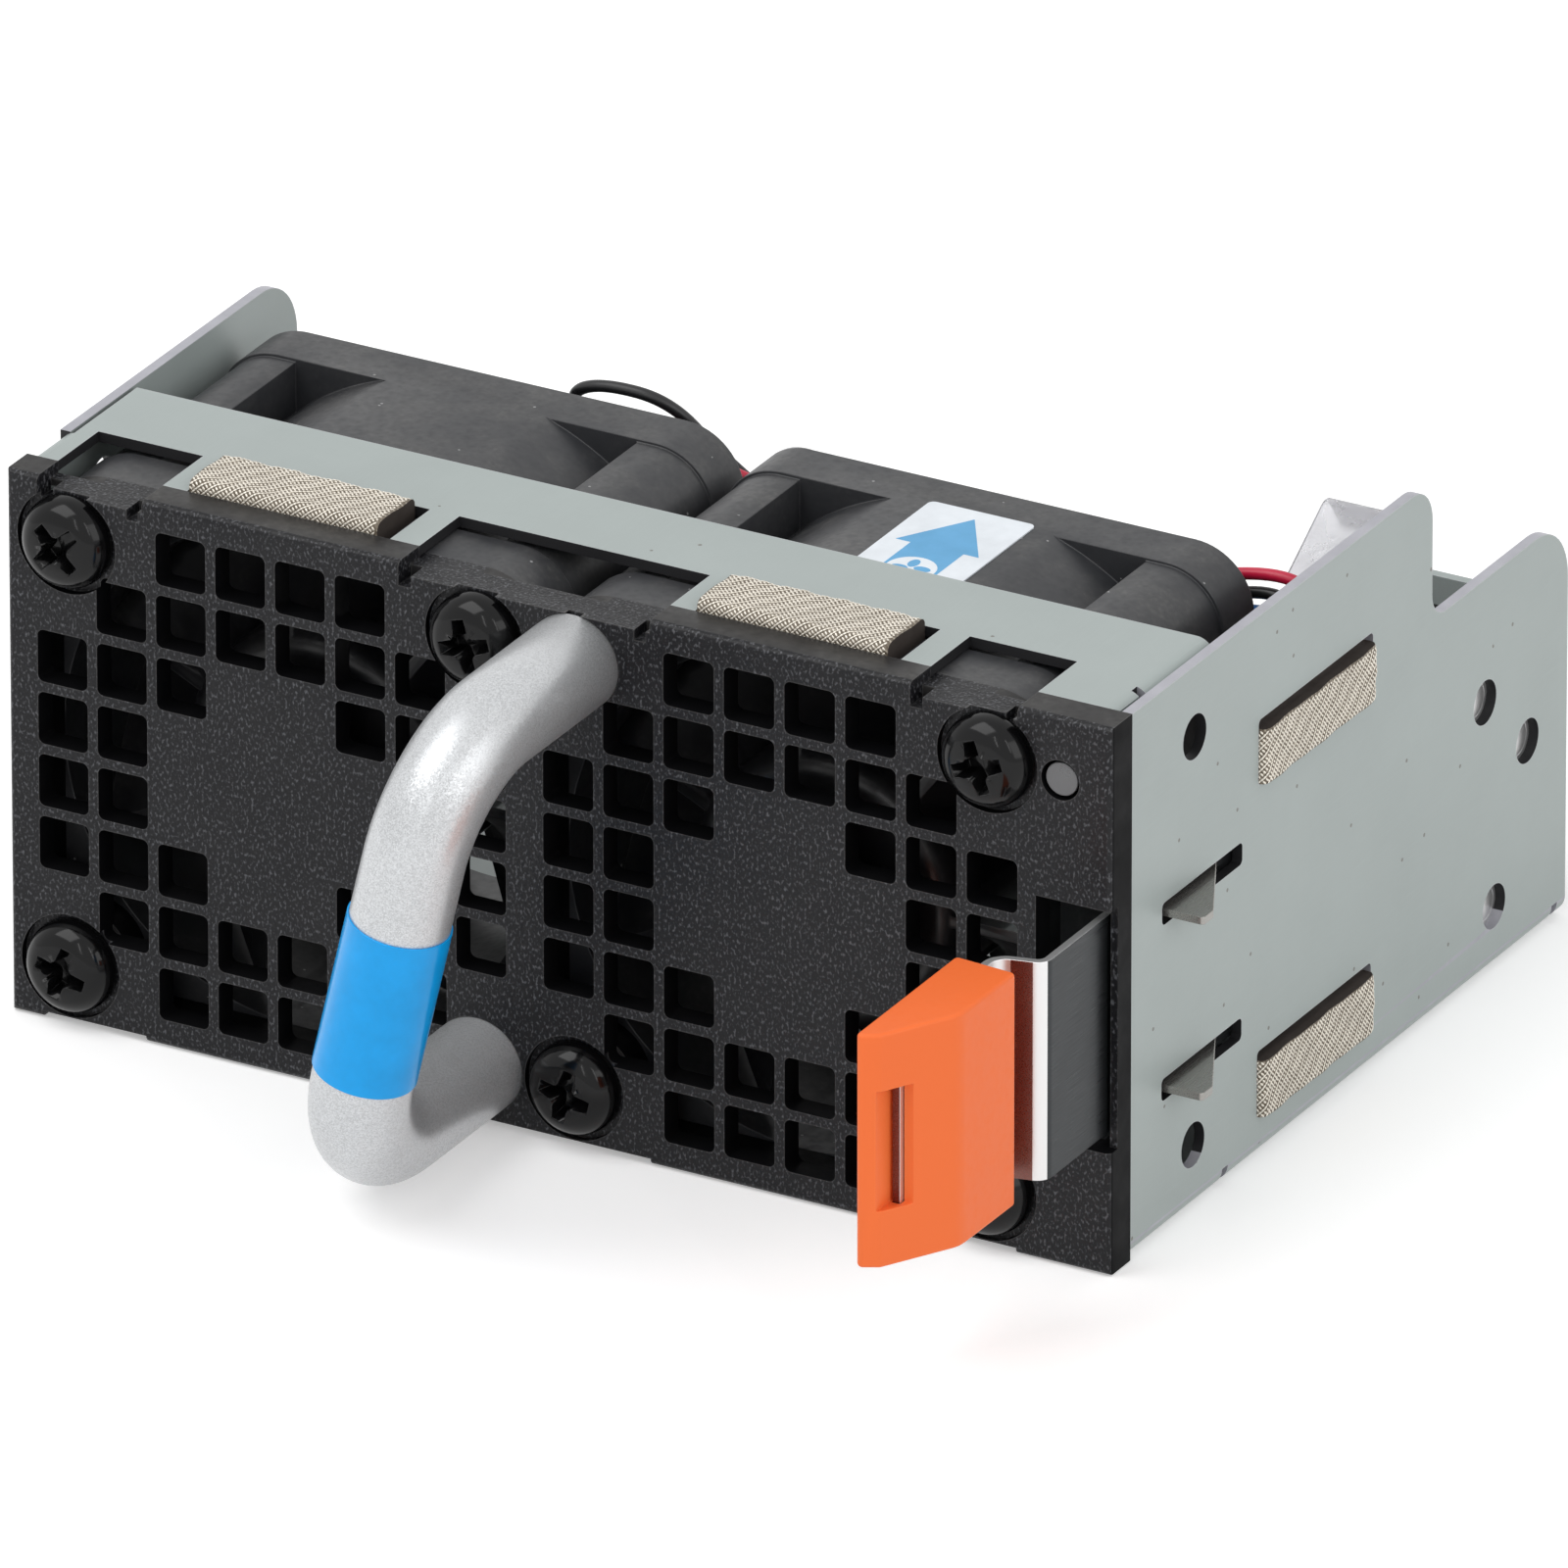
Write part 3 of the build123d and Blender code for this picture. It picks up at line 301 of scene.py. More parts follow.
def build_wear(tree: bpy.types.NodeTree) -> None:
    """Mask of worn or rubbed edges, from the turn of the surface within a radius."""
    board, given, result = sockets(tree, {"Place": None, "Radius": 0.0002, "Reach": 6.0}, "Mask")
    soft = board.wire(board.add("ShaderNodeBevel", samples=4), Radius=given["Radius"])
    turn = board.vectors("DOT_PRODUCT", soft.outputs["Normal"], board.facing()).outputs["Value"]
    edge = board.maths("MULTIPLY", board.maths("SUBTRACT", 1.0, turn), given["Reach"])
    patches = board.noise(given["Place"], size=0.0012, detail=4.0, rough=0.6)
    worn = board.maths("MULTIPLY", edge, board.span(patches, 0.3, 0.6, to=(0.35, 1.0)))
    board.wire(result, Mask=board.maths("MINIMUM", worn, 1.0))


def build_dust(tree: bpy.types.NodeTree) -> None:
    """Mask of dust and smears that lie on faces turned upwards."""
    board, given, result = sockets(tree, {"Place": None, "Amount": 0.3}, "Mask")
    upwards = board.span(board.part(board.facing(), 2), -0.2, 0.9, to=(0.25, 1.0))
    blots = board.noise(given["Place"], size=0.006, detail=6.0, rough=0.68)
    grit = board.noise(given["Place"], size=0.0004, detail=2.0)
    lying = board.maths("MULTIPLY", upwards, board.span(blots, 0.42, 0.72))
    lying = board.maths("MULTIPLY", lying, board.span(grit, 0.45, 0.75, to=(0.4, 1.0)))
    board.wire(result, Mask=board.maths("MULTIPLY", lying, given["Amount"]))


def build_weave(tree: bpy.types.NodeTree) -> None:
    """Plain weave on the bias: height, and a mask of the crowns of its threads."""
    board, given, result = sockets(tree, {"Place": None, "Pitch": 0.0004}, "Height", "Crown")
    bias = board.add("ShaderNodeMapping")
    board.wire(bias, Vector=given["Place"], Rotation=(math.radians(45),) * 3)
    rate = board.maths("DIVIDE", 2 * math.pi, given["Pitch"])
    across = (board.part(bias.outputs["Vector"], axis) for axis in (0, 1))
    waves = [board.maths("SINE", board.maths("MULTIPLY", way, rate)) for way in across]
    height = board.maths("MULTIPLY_ADD", board.maths("MULTIPLY", *waves), 0.5, 0.5)
    board.wire(result, Height=height, Crown=board.span(height, 0.55, 0.95))


def build_flake(tree: bpy.types.NodeTree) -> None:
    """Metallic paint: brightness of each flake, and the normal that it turns to."""
    inputs = {"Place": None, "Size": 0.00012, "Tilt": 0.35}
    board, given, result = sockets(tree, inputs, "Brightness", "Normal")
    draw = board.cells(given["Place"], board.maths("DIVIDE", 1.0, given["Size"])).outputs["Color"]
    centred = board.vectors("SUBTRACT", draw, (0.5, 0.5, 0.5))
    lean = board.vectors("MULTIPLY", centred.outputs[0], given["Tilt"])
    turned = board.vectors("NORMALIZE", board.vectors("ADD", board.facing(), lean.outputs[0]).outputs[0])
    board.wire(result, Brightness=board.part(draw, 1), Normal=turned.outputs[0])


def build_rolling(tree: bpy.types.NodeTree) -> None:
    """Fine streaks left by the mill along the sheet."""
    board, given, result = sockets(tree, {"Place": None, "Width": 0.00012}, "Streak")
    long = board.scaled(given["Place"], (1.0, 0.03, 1.0))
    lines = board.add("ShaderNodeTexNoise")
    board.wire(lines, Vector=long, Scale=board.maths("DIVIDE", 1.0, given["Width"]), Detail=4.0)
    board.wire(result, Streak=lines.outputs["Fac"])


EFFECT_BUILDERS: dict[Effect, Callable[[bpy.types.NodeTree], None]] = {
    Effect.PEBBLE: build_pebble,
    Effect.WEAR: build_wear,
    Effect.DUST: build_dust,
    Effect.WEAVE: build_weave,
    Effect.FLAKE: build_flake,
    Effect.ROLLING: build_rolling,
}


# Finishes


@dataclass(frozen=True)
class Finish:
    """Material of one finish, with the constants that its shader takes."""

    name: str
    colour: Colour
    roughness: float = 0.5
    metallic: float = 0.0
    coat: float = 0.0
    specular: float = 0.5

    def material(self) -> bpy.types.Material:
        """The finish's material, built on first use."""
        made = bpy.data.materials.get(self.name)
        if made is None:
            made = bpy.data.materials.new(self.name)
            made.use_nodes = True
            board = Board(made.node_tree)
            shader = made.node_tree.nodes["Principled BSDF"]
            board.wire(
                shader, Base_Color=(*self.colour, 1.0), Roughness=self.roughness, Metallic=self.metallic,
                Coat_Weight=self.coat, Specular_IOR_Level=self.specular,
            )
            self.detail(board, shader, board.place())
        return made

    def toned(self, share: float) -> Colour:
        """The finish's colour times a share, at most 1 in each part."""
        return tuple(min(1.0, part * share) for part in self.colour)

    def rough(self, board: Board, value: Socket, low: float, high: float, change: float) -> Socket:
        """Roughness that changes by a share either way as a value goes from low to high."""
        return board.span(value, low, high, (self.roughness * (1 - change), self.roughness * (1 + change)))

    def detail(self, board: Board, shader: bpy.types.Node, place: Socket) -> None:
        """Adds a faint change of colour and roughness, which every surface has."""
        blots = board.noise(place, size=0.003, detail=5.0, rough=0.6)
        colour = board.blend(board.span(blots, 0.3, 0.7), self.colour, self.toned(0.86))
        board.wire(shader, Base_Color=colour, Roughness=self.rough(board, blots, 0.3, 0.7, 0.15))

    def relief(self, board: Board, height: Socket, depth: float, strength: float) -> Socket:
        """Turns a height into a bump.

        Args:
            board: the material's board.
            height: the height, about 0 to 1.
            depth: metres from 0 to 1.
            strength: the bump's strength.

        Returns:
            The bent normal.
        """
        bump = board.wire(board.add("ShaderNodeBump"), Strength=strength, Distance=depth, Height=height)
        return bump.outputs["Normal"]


@dataclass(frozen=True)
class MouldedPlastic(Finish):
    """Moulded plastic with a fine grain, rubbed edges, dust, and painted highlights: glints on a few grains
    and a pale colour on the grain's crests.
    """

    grain: float = 0.00035
    depth: float = 0.00004
    strength: float = 0.5
    # Painted highlights: glints on a few grains, and a pale colour on the grain's crests.
    glints: float = 0.0
    glint_colour: Colour = (0.5, 0.5, 0.5)
    crest: float = 0.0
    crest_highlight_colour: Colour = (0.16, 0.16, 0.17)
    edge_colour: Colour = (0.12, 0.12, 0.12)
    edge: float = 0.5
    dust_colour: Colour = (0.3, 0.29, 0.27)
    dust: float = 0.2

    def detail(self, board: Board, shader: bpy.types.Node, place: Socket) -> None:
        """Grain in the bump and roughness; rubbed edges, dust, painted glints and painted highlights on the
        crests in the colour.
        """
        grain = board.group(Effect.PEBBLE, Place=place, Size=self.grain, Glints=self.glints).outputs
        wear = board.group(Effect.WEAR, Place=place, Radius=0.00018)
        dust = board.group(Effect.DUST, Place=place, Amount=self.dust)
        rubbed = board.maths("MULTIPLY", wear.outputs["Mask"], self.edge)
        colour = board.blend(rubbed, self.colour, self.edge_colour)
        colour = board.blend(dust.outputs["Mask"], colour, self.dust_colour)
        # Painted glints: a few grains take a pale colour.
        colour = board.blend(board.maths("MULTIPLY", grain["Glint"], 0.5), colour, self.glint_colour)
        # Painted highlight: the grain's crests take a pale colour.
        if self.crest:
            lit = board.maths("MULTIPLY", grain["Crest"], self.crest)
            colour = board.blend(lit, colour, self.crest_highlight_colour)
        rough = self.rough(board, grain["Height"], 0.0, 1.0, 0.2)
        bent = self.relief(board, grain["Height"], self.depth, self.strength)
        board.wire(shader, Base_Color=colour, Roughness=rough, Normal=bent)


@dataclass(frozen=True)
class CoatedSheet(Finish):
    """Steel sheet with a satin coat, fine rolling marks, specks and pale rubbed edges."""

    edge_colour: Colour = (0.6, 0.6, 0.63)
    edge: float = 0.7
    speck_colour: Colour = (0.12, 0.1, 0.08)

    def detail(self, board: Board, shader: bpy.types.Node, place: Socket) -> None:
        """Cloudy colour, specks, scuffs and bright edges."""
        cloud = board.span(board.noise(place, size=0.014, detail=5.0, rough=0.62), 0.3, 0.7)
        colour = board.blend(cloud, self.colour, self.toned(0.92))
        streak = board.group(Effect.ROLLING, Place=place).outputs["Streak"]
        colour = board.blend(board.span(streak, 0.5, 0.8, to=(0.0, 0.5)), colour, self.toned(1.08))
        wear = board.group(Effect.WEAR, Place=place, Radius=0.00015, Reach=5.0)
        rubbed = board.maths("MULTIPLY", wear.outputs["Mask"], self.edge)
        colour = board.blend(rubbed, colour, self.edge_colour)
        specks = board.group(Effect.PEBBLE, Place=place, Size=0.0007, Glints=0.0035)
        strong = board.maths("MULTIPLY", specks.outputs["Glint"], 0.75)
        colour = board.blend(strong, colour, self.speck_colour)
        fine = board.noise(place, size=0.0004)
        bent = self.relief(board, fine, depth=0.00002, strength=0.25)
        rough = self.rough(board, streak, 0.3, 0.7, 0.15)
        board.wire(shader, Base_Color=colour, Roughness=rough, Normal=bent)


@dataclass(frozen=True)
class FlakePaint(Finish):
    """Silver paint with metal flakes and a clear coat over them."""

    flake: float = 0.00009
    tilt: float = 0.14

    def detail(self, board: Board, shader: bpy.types.Node, place: Socket) -> None:
        """Each flake has its own brightness and tilt."""
        flakes = board.group(Effect.FLAKE, Place=place, Size=self.flake, Tilt=self.tilt).outputs
        colour = board.blend(flakes["Brightness"], self.toned(0.8), self.toned(1.2))
        cloud = board.span(board.noise(place, size=0.004, detail=4.0), 0.3, 0.7, to=(0.0, 0.12))
        board.wire(shader, Base_Color=board.blend(cloud, colour, self.toned(0.8)), Normal=flakes["Normal"])


@dataclass(frozen=True)
class RolledSteel(Finish):
    """Bare bright steel with rolling marks and faint stains."""

    stain: Colour = (0.35, 0.3, 0.27)
    stained: float = 0.15

    def detail(self, board: Board, shader: bpy.types.Node, place: Socket) -> None:
        """Streaks in roughness and bump, stains in colour."""
        streak = board.group(Effect.ROLLING, Place=place, Width=0.0001).outputs["Streak"]
        blots = board.noise(place, size=0.005, detail=6.0, rough=0.65)
        stains = board.span(blots, 0.45, 0.75, to=(0.0, self.stained))
        colour = board.blend(stains, self.colour, self.stain)
        rough = self.rough(board, streak, 0.3, 0.7, 0.3)
        bent = self.relief(board, streak, depth=0.000008, strength=0.4)
        board.wire(shader, Base_Color=colour, Roughness=rough, Normal=bent)


@dataclass(frozen=True)
class WovenFabric(Finish):
    """Metallised fabric: brown painted shade in the gaps, bright on the crowns of the threads."""

    gap_shade_and_stain: Colour = (0.1, 0.08, 0.06)
    pitch: float = 0.0004
    stained: float = 0.35

    def detail(self, board: Board, shader: bpy.types.Node, place: Socket) -> None:
        """Weave in colour and bump, with painted shade in its gaps and slow stains over it."""
        weave = board.group(Effect.WEAVE, Place=place, Pitch=self.pitch).outputs
        blots = board.noise(place, size=0.003, detail=5.0, rough=0.6)
        stains = board.span(blots, 0.35, 0.75, to=(0.0, self.stained))
        # Painted shade: the gaps between the threads take a dark colour, which the stains share.
        colour = board.blend(stains, board.blend(weave["Crown"], self.gap_shade_and_stain, self.colour), self.gap_shade_and_stain)
        bent = self.relief(board, weave["Height"], depth=0.00008, strength=0.7)
        board.wire(shader, Base_Color=colour, Normal=bent)


@dataclass(frozen=True)
class ClearPlastic(Finish):
    """Clear or cloudy plastic."""

    see_through: float = 0.9
    refraction: float = 1.45

    def detail(self, board: Board, shader: bpy.types.Node, place: Socket) -> None:
        """Cloudiness in the roughness and bump."""
        cloud = board.span(board.noise(place, size=0.004, detail=5.0, rough=0.6), 0.3, 0.7)
        rough = self.rough(board, cloud, 0.0, 1.0, 0.4)
        bent = self.relief(board, cloud, depth=0.0002, strength=0.3)
        board.wire(shader, Roughness=rough, Normal=bent)
        board.wire(shader, Transmission_Weight=self.see_through, IOR=self.refraction)


TRAY_SHEET = CoatedSheet("tray_sheet", shade(164, 173, 171), 0.42)
TRAY_CUT = Finish("tray_cut_edge", shade(176, 176, 184), 0.4, 0.2)
# Painted shade: near-black colour for the tray's steps and for the cut faces inside its holes.
TRAY_PAINTED_SHADE = Finish("tray_shaded_step", shade(34, 34, 36), specular=0.3)
# The pale crest colour is a painted highlight on the grain.
PANEL_BLACK = MouldedPlastic(
    "panel_grained_black", shade(22, 22, 25), 0.42, specular=0.22, grain=0.0002, depth=0.00005, strength=0.6,
    crest=0.8, crest_highlight_colour=shade(98, 99, 103), edge_colour=shade(88, 87, 86), edge=0.6, dust=0.05,
)
# Painted shade: near-black colour for the grille's cell walls and the panel's right side face.
PANEL_PAINTED_SHADE = Finish("panel_deep_black", shade(9, 9, 11), 0.6, specular=0.1)
PANEL_SMOOTH = MouldedPlastic(
    "panel_smooth_black", shade(34, 33, 33), specular=0.25, grain=0.0006, strength=0.15
)
SCREW_BLACK = Finish("screw_gloss_black", shade(11, 11, 12), 0.13, specular=0.26)
HANDLE_SILVER = FlakePaint("handle_silver_flake", shade(202, 204, 206), 0.33, 0.5, coat=0.1)
BAND_BLUE = Finish("band_gloss_blue", shade(14, 168, 246), 0.2, specular=0.3)
SPRING_STEEL = RolledSteel("spring_steel", shade(186, 178, 168), 0.2, 1.0)
# Copies of the spring steel: painted shade on the leaf's outer face and teeth, and a painted reflection of
# the orange tab on its step.
LEAF_PAINTED_SHADE = RolledSteel("leaf_dark_face", shade(60, 62, 64), 0.36, 0.85, stained=0.3, stain=shade(46, 47, 48))
TOOTH_PAINTED_SHADE = RolledSteel("tooth_steel", shade(158, 156, 152), 0.3, 0.8)
LEAF_TAB_REFLECTION = RolledSteel("leaf_tinted_face", shade(118, 78, 72), 0.3, 0.9)
TAB_ORANGE = MouldedPlastic(
    "tab_satin_orange", shade(244, 116, 58), 0.48, specular=0.22, grain=0.0005, strength=0.12,
    edge_colour=shade(250, 140, 84), edge=0.35, dust_colour=shade(200, 100, 60), dust=0.1,
)
# The gap colour is painted shade between the threads and also the stains' colour; the thread crowns take a
# paler copy of the fabric's colour as a painted highlight.
GASKET_FABRIC = WovenFabric("gasket_fabric", shade(180, 171, 156), 0.5, 0.2, gap_shade_and_stain=shade(104, 94, 80))
GASKET_THREAD_HIGHLIGHT = Finish("gasket_thread", shade(246, 239, 226), 0.34, 0.3)
GASKET_FOAM = Finish("gasket_foam", shade(50, 42, 37), 0.9)
PIPE_GREY = ClearPlastic("light_pipe_grey", shade(128, 129, 131), 0.35, see_through=0.35)
LABEL_WHITE = Finish("label_white", shade(232, 238, 244), 0.35, coat=0.2)
LABEL_BLUE = Finish("label_blue", shade(72, 162, 214), 0.35, coat=0.2)
GUARD_FILM = ClearPlastic("guard_film", shade(222, 222, 226), 0.3, see_through=0.8)
BRIGHT_STEEL = RolledSteel("bright_steel", shade(192, 191, 188), 0.3, 1.0)
GOLD = Finish("contact_gold", shade(222, 184, 92), 0.25, 1.0)
# Its glints are painted highlights on a few grains.
FAN_GREY = MouldedPlastic(
    "fan_dark_grey", shade(44, 45, 48), grain=0.0005, strength=0.2, glints=0.004,
    edge_colour=shade(92, 92, 94), edge=0.35, dust_colour=shade(128, 126, 122), dust=0.32,
)
IMPELLER_BLACK = MouldedPlastic(
    "impeller_black", shade(30, 30, 33), 0.42, grain=0.0008, strength=0.1, dust=0.15
)
FERRITE = Finish("magnet_ferrite", shade(44, 43, 44), 0.7)
COPPER = Finish("winding_copper", shade(190, 104, 58), 0.35, 0.9)
BOARD_GREEN = Finish("board_green", shade(34, 92, 52), 0.35, coat=0.3)
LEAD_COLOURS = {
    "red": Finish("lead_red", shade(206, 28, 66), 0.38),
    "black": Finish("lead_black", shade(24, 24, 26), 0.38),
    "blue": Finish("lead_blue", shade(44, 124, 206), 0.38),
}


# Meshes


def link(name: str, data: bpy.types.ID) -> bpy.types.Object:
    """Puts data into the scene as an object with a name."""
    shown = bpy.data.objects.new(name, data)
    bpy.context.scene.collection.objects.link(shown)
    return shown


def new_piece(name: str, mesh: bpy.types.Mesh, *finishes: Finish) -> bpy.types.Object:
    """Puts a mesh into the scene under a name, with its finishes in order."""
    mesh.name = name
    for finish in finishes:
        mesh.materials.append(finish.material())
    return link(name, mesh)


def opened(mesh: bpy.types.Mesh) -> bmesh.types.BMesh:
    """New bmesh with a mesh's shape, which the caller frees."""
    work = bmesh.new()
    work.from_mesh(mesh)
    return work


def closed(work: bmesh.types.BMesh, mesh: bpy.types.Mesh | str) -> bpy.types.Mesh:
    """Writes a bmesh to a mesh, or to a new one with that name, and frees it."""
    if isinstance(mesh, str):
        mesh = bpy.data.meshes.new(mesh)
    work.to_mesh(mesh)
    work.free()
    return mesh


def smooth(mesh: bpy.types.Mesh, angle: float = 34.0) -> None:
    """Shades a mesh smooth, apart from edges sharper than an angle in degrees."""
    mesh.shade_smooth()
    mesh.set_sharp_from_angle(angle=math.radians(angle))


def soften(piece: bpy.types.Object, width: float, angle: float = 40.0) -> None:
    """Rounds a piece's sharp edges with a bevel of a width in millimetres."""
    bevel = piece.modifiers.new("edge_radius", "BEVEL")
    bevel.width = width * MM
    bevel.segments = 2
    bevel.limit_method = "ANGLE"
    bevel.angle_limit = math.radians(angle)
    bevel.harden_normals = True


def evaluated_mesh(piece: bpy.types.Object) -> bpy.types.Mesh:
    """Plain mesh of a piece with its modifiers done."""
    graph = bpy.context.evaluated_depsgraph_get()
    return bpy.data.meshes.new_from_object(piece.evaluated_get(graph))


def settle(piece: bpy.types.Object) -> None:
    """Makes a piece's modifiers part of its mesh."""
    mesh = evaluated_mesh(piece)
    piece.modifiers.clear()
    piece.data = mesh


def joined_copy(node: str) -> bmesh.types.BMesh:
    """Shape of a CAD node with its corners joined, which the caller frees."""
    work = opened(frame["nodes"][node].data)
    bmesh.ops.remove_doubles(work, verts=work.verts, dist=SAME_CORNER)
    return work


def merged_copy(node: str) -> bmesh.types.BMesh:
    """Shape of a CAD node with its corners joined and its flat faces whole, which the caller frees."""
    work = joined_copy(node)
    bmesh.ops.dissolve_limit(
        work, angle_limit=math.radians(0.6), verts=work.verts, edges=work.edges, delimit={"NORMAL"}
    )
    return work


def hold(piece: bpy.types.Object, node: str) -> bpy.types.Object:
    """Lets a finished piece stand for a CAD node, on its body.

    Args:
        piece: the finished piece.
        node: the CAD node that it replaces.

    Returns:
        The piece.
    """
    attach(piece, frame["nodes"][node]["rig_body"])
    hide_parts(node)
    LOG.info("%s stands for %s", piece.name, node)
    return piece


def dress(
    node: str, name: str, *finishes: Finish, edge: float = 0.0, choose: FaceChooser | None = None
) -> bpy.types.Object:
    """Makes a finished piece from a CAD node's own shape.

    Args:
        node: the CAD node that it stands for.
        name: the piece's name.
        finishes: its finishes, in the order that choose counts them.
        edge: radius of its edges in millimetres, 0 for none.
        choose: gives the number of a face's finish.

    Returns:
        The finished piece.
    """
    work = merged_copy(node)
    if choose:
        for face in work.faces:
            face.material_index = choose(face)
    piece = new_piece(name, closed(work, name), *finishes)
    smooth(piece.data)
    if edge:
        soften(piece, edge)
    return hold(piece, node)


def recolour(node: str, finish: Finish) -> None:
    """Gives a CAD node that keeps its own shape a finish."""
    shown = frame["nodes"][node]
    shown.data.materials.clear()
    shown.data.materials.append(finish.material())


def spans(face: bmesh.types.BMFace) -> Vector:
    """Extent of a face along the three axes, in millimetres."""
    places = np.array([corner.co for corner in face.verts])
    return Vector((places.max(0) - places.min(0)) / MM)


# Geometry Nodes


@dataclass
class CopierTree:
    """Geometry Nodes tree that sets a copy of one object on each point of a mesh."""

    name: str

    def tree(self) -> bpy.types.NodeTree:
        """The tree, built on first use.

        Returns:
            A tree with the named inputs Geometry, Copy and Finish.
        """
        made = bpy.data.node_groups.get(self.name)
        if made is not None:
            return made
        made = bpy.data.node_groups.new(self.name, "GeometryNodeTree")
        for name, kind in (("Geometry", "Geometry"), ("Copy", "Object"), ("Finish", "Material")):
            made.interface.new_socket(name, in_out="INPUT", socket_type=f"NodeSocket{kind}")
        made.interface.new_socket("Geometry", in_out="OUTPUT", socket_type="NodeSocketGeometry")
        board = Board(made)
        given, result = board.add("NodeGroupInput").outputs, board.add("NodeGroupOutput")
        copy = board.wire(board.add("GeometryNodeObjectInfo"), Object=given["Copy"])
        named = board.add("GeometryNodeInputNamedAttribute", data_type="FLOAT_VECTOR")
        turn = board.add("FunctionNodeEulerToRotation")
        board.feed(turn.inputs[0], board.wire(named, Name="turn").outputs["Attribute"])
        place = board.wire(
            board.add("GeometryNodeInstanceOnPoints"), Points=given["Geometry"],
            Instance=copy.outputs["Geometry"], Rotation=turn.outputs[0],
        )
        real = board.wire(board.add("GeometryNodeRealizeInstances"), Geometry=place.outputs[0])
        dressed = board.add("GeometryNodeSetMaterial")
        board.wire(dressed, Geometry=real.outputs[0], Material=given["Finish"])
        board.wire(result, Geometry=dressed.outputs[0])
        return made

    def spread(
        self, name: str, places: list[Vector], turns: list[Vector], copy: bpy.types.Object, finish: Finish
    ) -> bpy.types.Mesh:
        """Runs the tree and returns its result as a plain mesh.

        Args:
            name: the new mesh's name.
            places: where the copies stand, in metres.
            turns: Euler angles of each copy.
            copy: the object to copy, which is removed afterwards.
            finish: the finish of the copies.

        Returns:
            The mesh, with one material.
        """
        points = bpy.data.meshes.new(f"{name}_points")
        points.from_pydata([tuple(place) for place in places], [], [])
        values = points.attributes.new("turn", "FLOAT_VECTOR", "POINT")
        values.data.foreach_set("vector", np.array(turns, np.float32).ravel())
        holder = link(f"{name}_holder", points)
        modifier = holder.modifiers.new("copies", "NODES")
        modifier.node_group = self.tree()
        items = self.tree().interface.items_tree
        inputs = {item.name: item.identifier for item in items if item.in_out == "INPUT"}
        modifier[inputs["Copy"]] = copy
        modifier[inputs["Finish"]] = finish.material()
        mesh = evaluated_mesh(holder)
        mesh.name = name
        for helper in (holder, copy):
            bpy.data.objects.remove(helper)
        if "turn" in mesh.attributes:
            mesh.attributes.remove(mesh.attributes["turn"])
        return mesh


# Sub-assemblies


@dataclass
class Tray:
    """Folded sheet tray with bright cut edges, in millimetres.

    The bridge reaches this far behind the panel's front. A cut face looks across a hole when the other side
    of the sheet is within reach, or within half of that above the crest, where the walls' outline is stepped.
    """

    sheet: float = 0.8
    wall: float = 43.2
    bend: float = 1.4
    height: float = 41.84
    bridge: float = 11.0
    edge: float = 0.1
    reach: float = 12.0
    crest: float = 33.0
    lowest_hole: float = 4.0
    surface: BVHTree | None = None

    def in_hole(self, face: bmesh.types.BMFace) -> bool:
        """Whether a cut face looks across a hole or slot at the sheet's other side."""
        start = face.calc_center_median() + face.normal * SLACK * MM
        reach = self.reach if start.z < self.crest * MM else self.reach / 2
        return self.surface.ray_cast(start, face.normal, reach * MM)[0] is not None

    def finish_of(self, face: bmesh.types.BMFace) -> int:
        """1 for a cut edge of the sheet, 2 for painted shade on the bridge's steps and on cut faces inside
        holes, 0 for its coated faces.
        """
        normal, middle, size = face.normal, face.calc_center_median() / MM, spans(face)
        thin = self.sheet + SLACK
        in_wall = abs(middle.x) > self.wall - ACROSS
        across = in_wall and abs(normal.x) < ACROSS
        # Cut faces that look across a hole or slot get painted shade.
        if across and middle.z > self.lowest_hole and self.in_hole(face):
            return 2
        in_bridge = middle.z > self.height - thin and middle.y + PANEL_FRONT < self.bridge
        # Upright faces of the bridge's steps get painted shade.
        if in_bridge and not in_wall and abs(normal.z) < 0.5:
            return 2
        cut = (
            abs(normal.y) > SQUARE_TO
            or across and self.bend < middle.z < self.height - SLACK
            or in_wall and normal.z > SQUARE_TO and size.x < thin
            or abs(normal.x) > SQUARE_TO and size.z < thin
        )
        return 1 if cut else 0

    def build(self) -> None:
        """Dresses the tray and the root of the leaf."""
        work = merged_copy("chassis")
        self.surface = BVHTree.FromBMesh(work)
        work.free()
        finishes = (TRAY_SHEET, TRAY_CUT, TRAY_PAINTED_SHADE)
        dress("chassis", "tray", *finishes, edge=self.edge, choose=self.finish_of)
        dress("latch_root", "leaf_root", SPRING_STEEL, edge=0.06)


@dataclass
class Panel:
    """Moulded grille panel with its light pipe, in millimetres."""

    plate: float = 2.0
    edge: float = 0.12
    half_width: float = 43.2
    cells: tuple[float, float] = (0.9, 39.8)

    def finish_of(self, face: bmesh.types.BMFace) -> int:
        """0 for the grained front, 1 for smooth faces on top and behind, 2 for painted shade on the cell
        walls and the right side face.
        """
        normal, middle = face.normal, face.calc_center_median() / MM
        depth = middle.y + PANEL_FRONT
        low, high = self.cells
        in_cells = abs(middle.x) < self.half_width and low < middle.z < high and depth > 0.1
        # Cell walls and the right side face get painted shade.
        if in_cells and abs(normal.y) < 0.5 or normal.x > 0.9 and middle.x > self.half_width:
            return 2
        return 1 if depth > self.plate - 0.3 and abs(normal.x) < 0.9 else 0

    def build(self) -> None:
        """Dresses the panel and the light pipe."""
        finishes = (PANEL_BLACK, PANEL_SMOOTH, PANEL_PAINTED_SHADE)
        dress("front_panel", "grille_panel", *finishes, edge=self.edge, choose=self.finish_of)
        dress("light_pipe", "status_light_pipe", PIPE_GREY, edge=0.08)


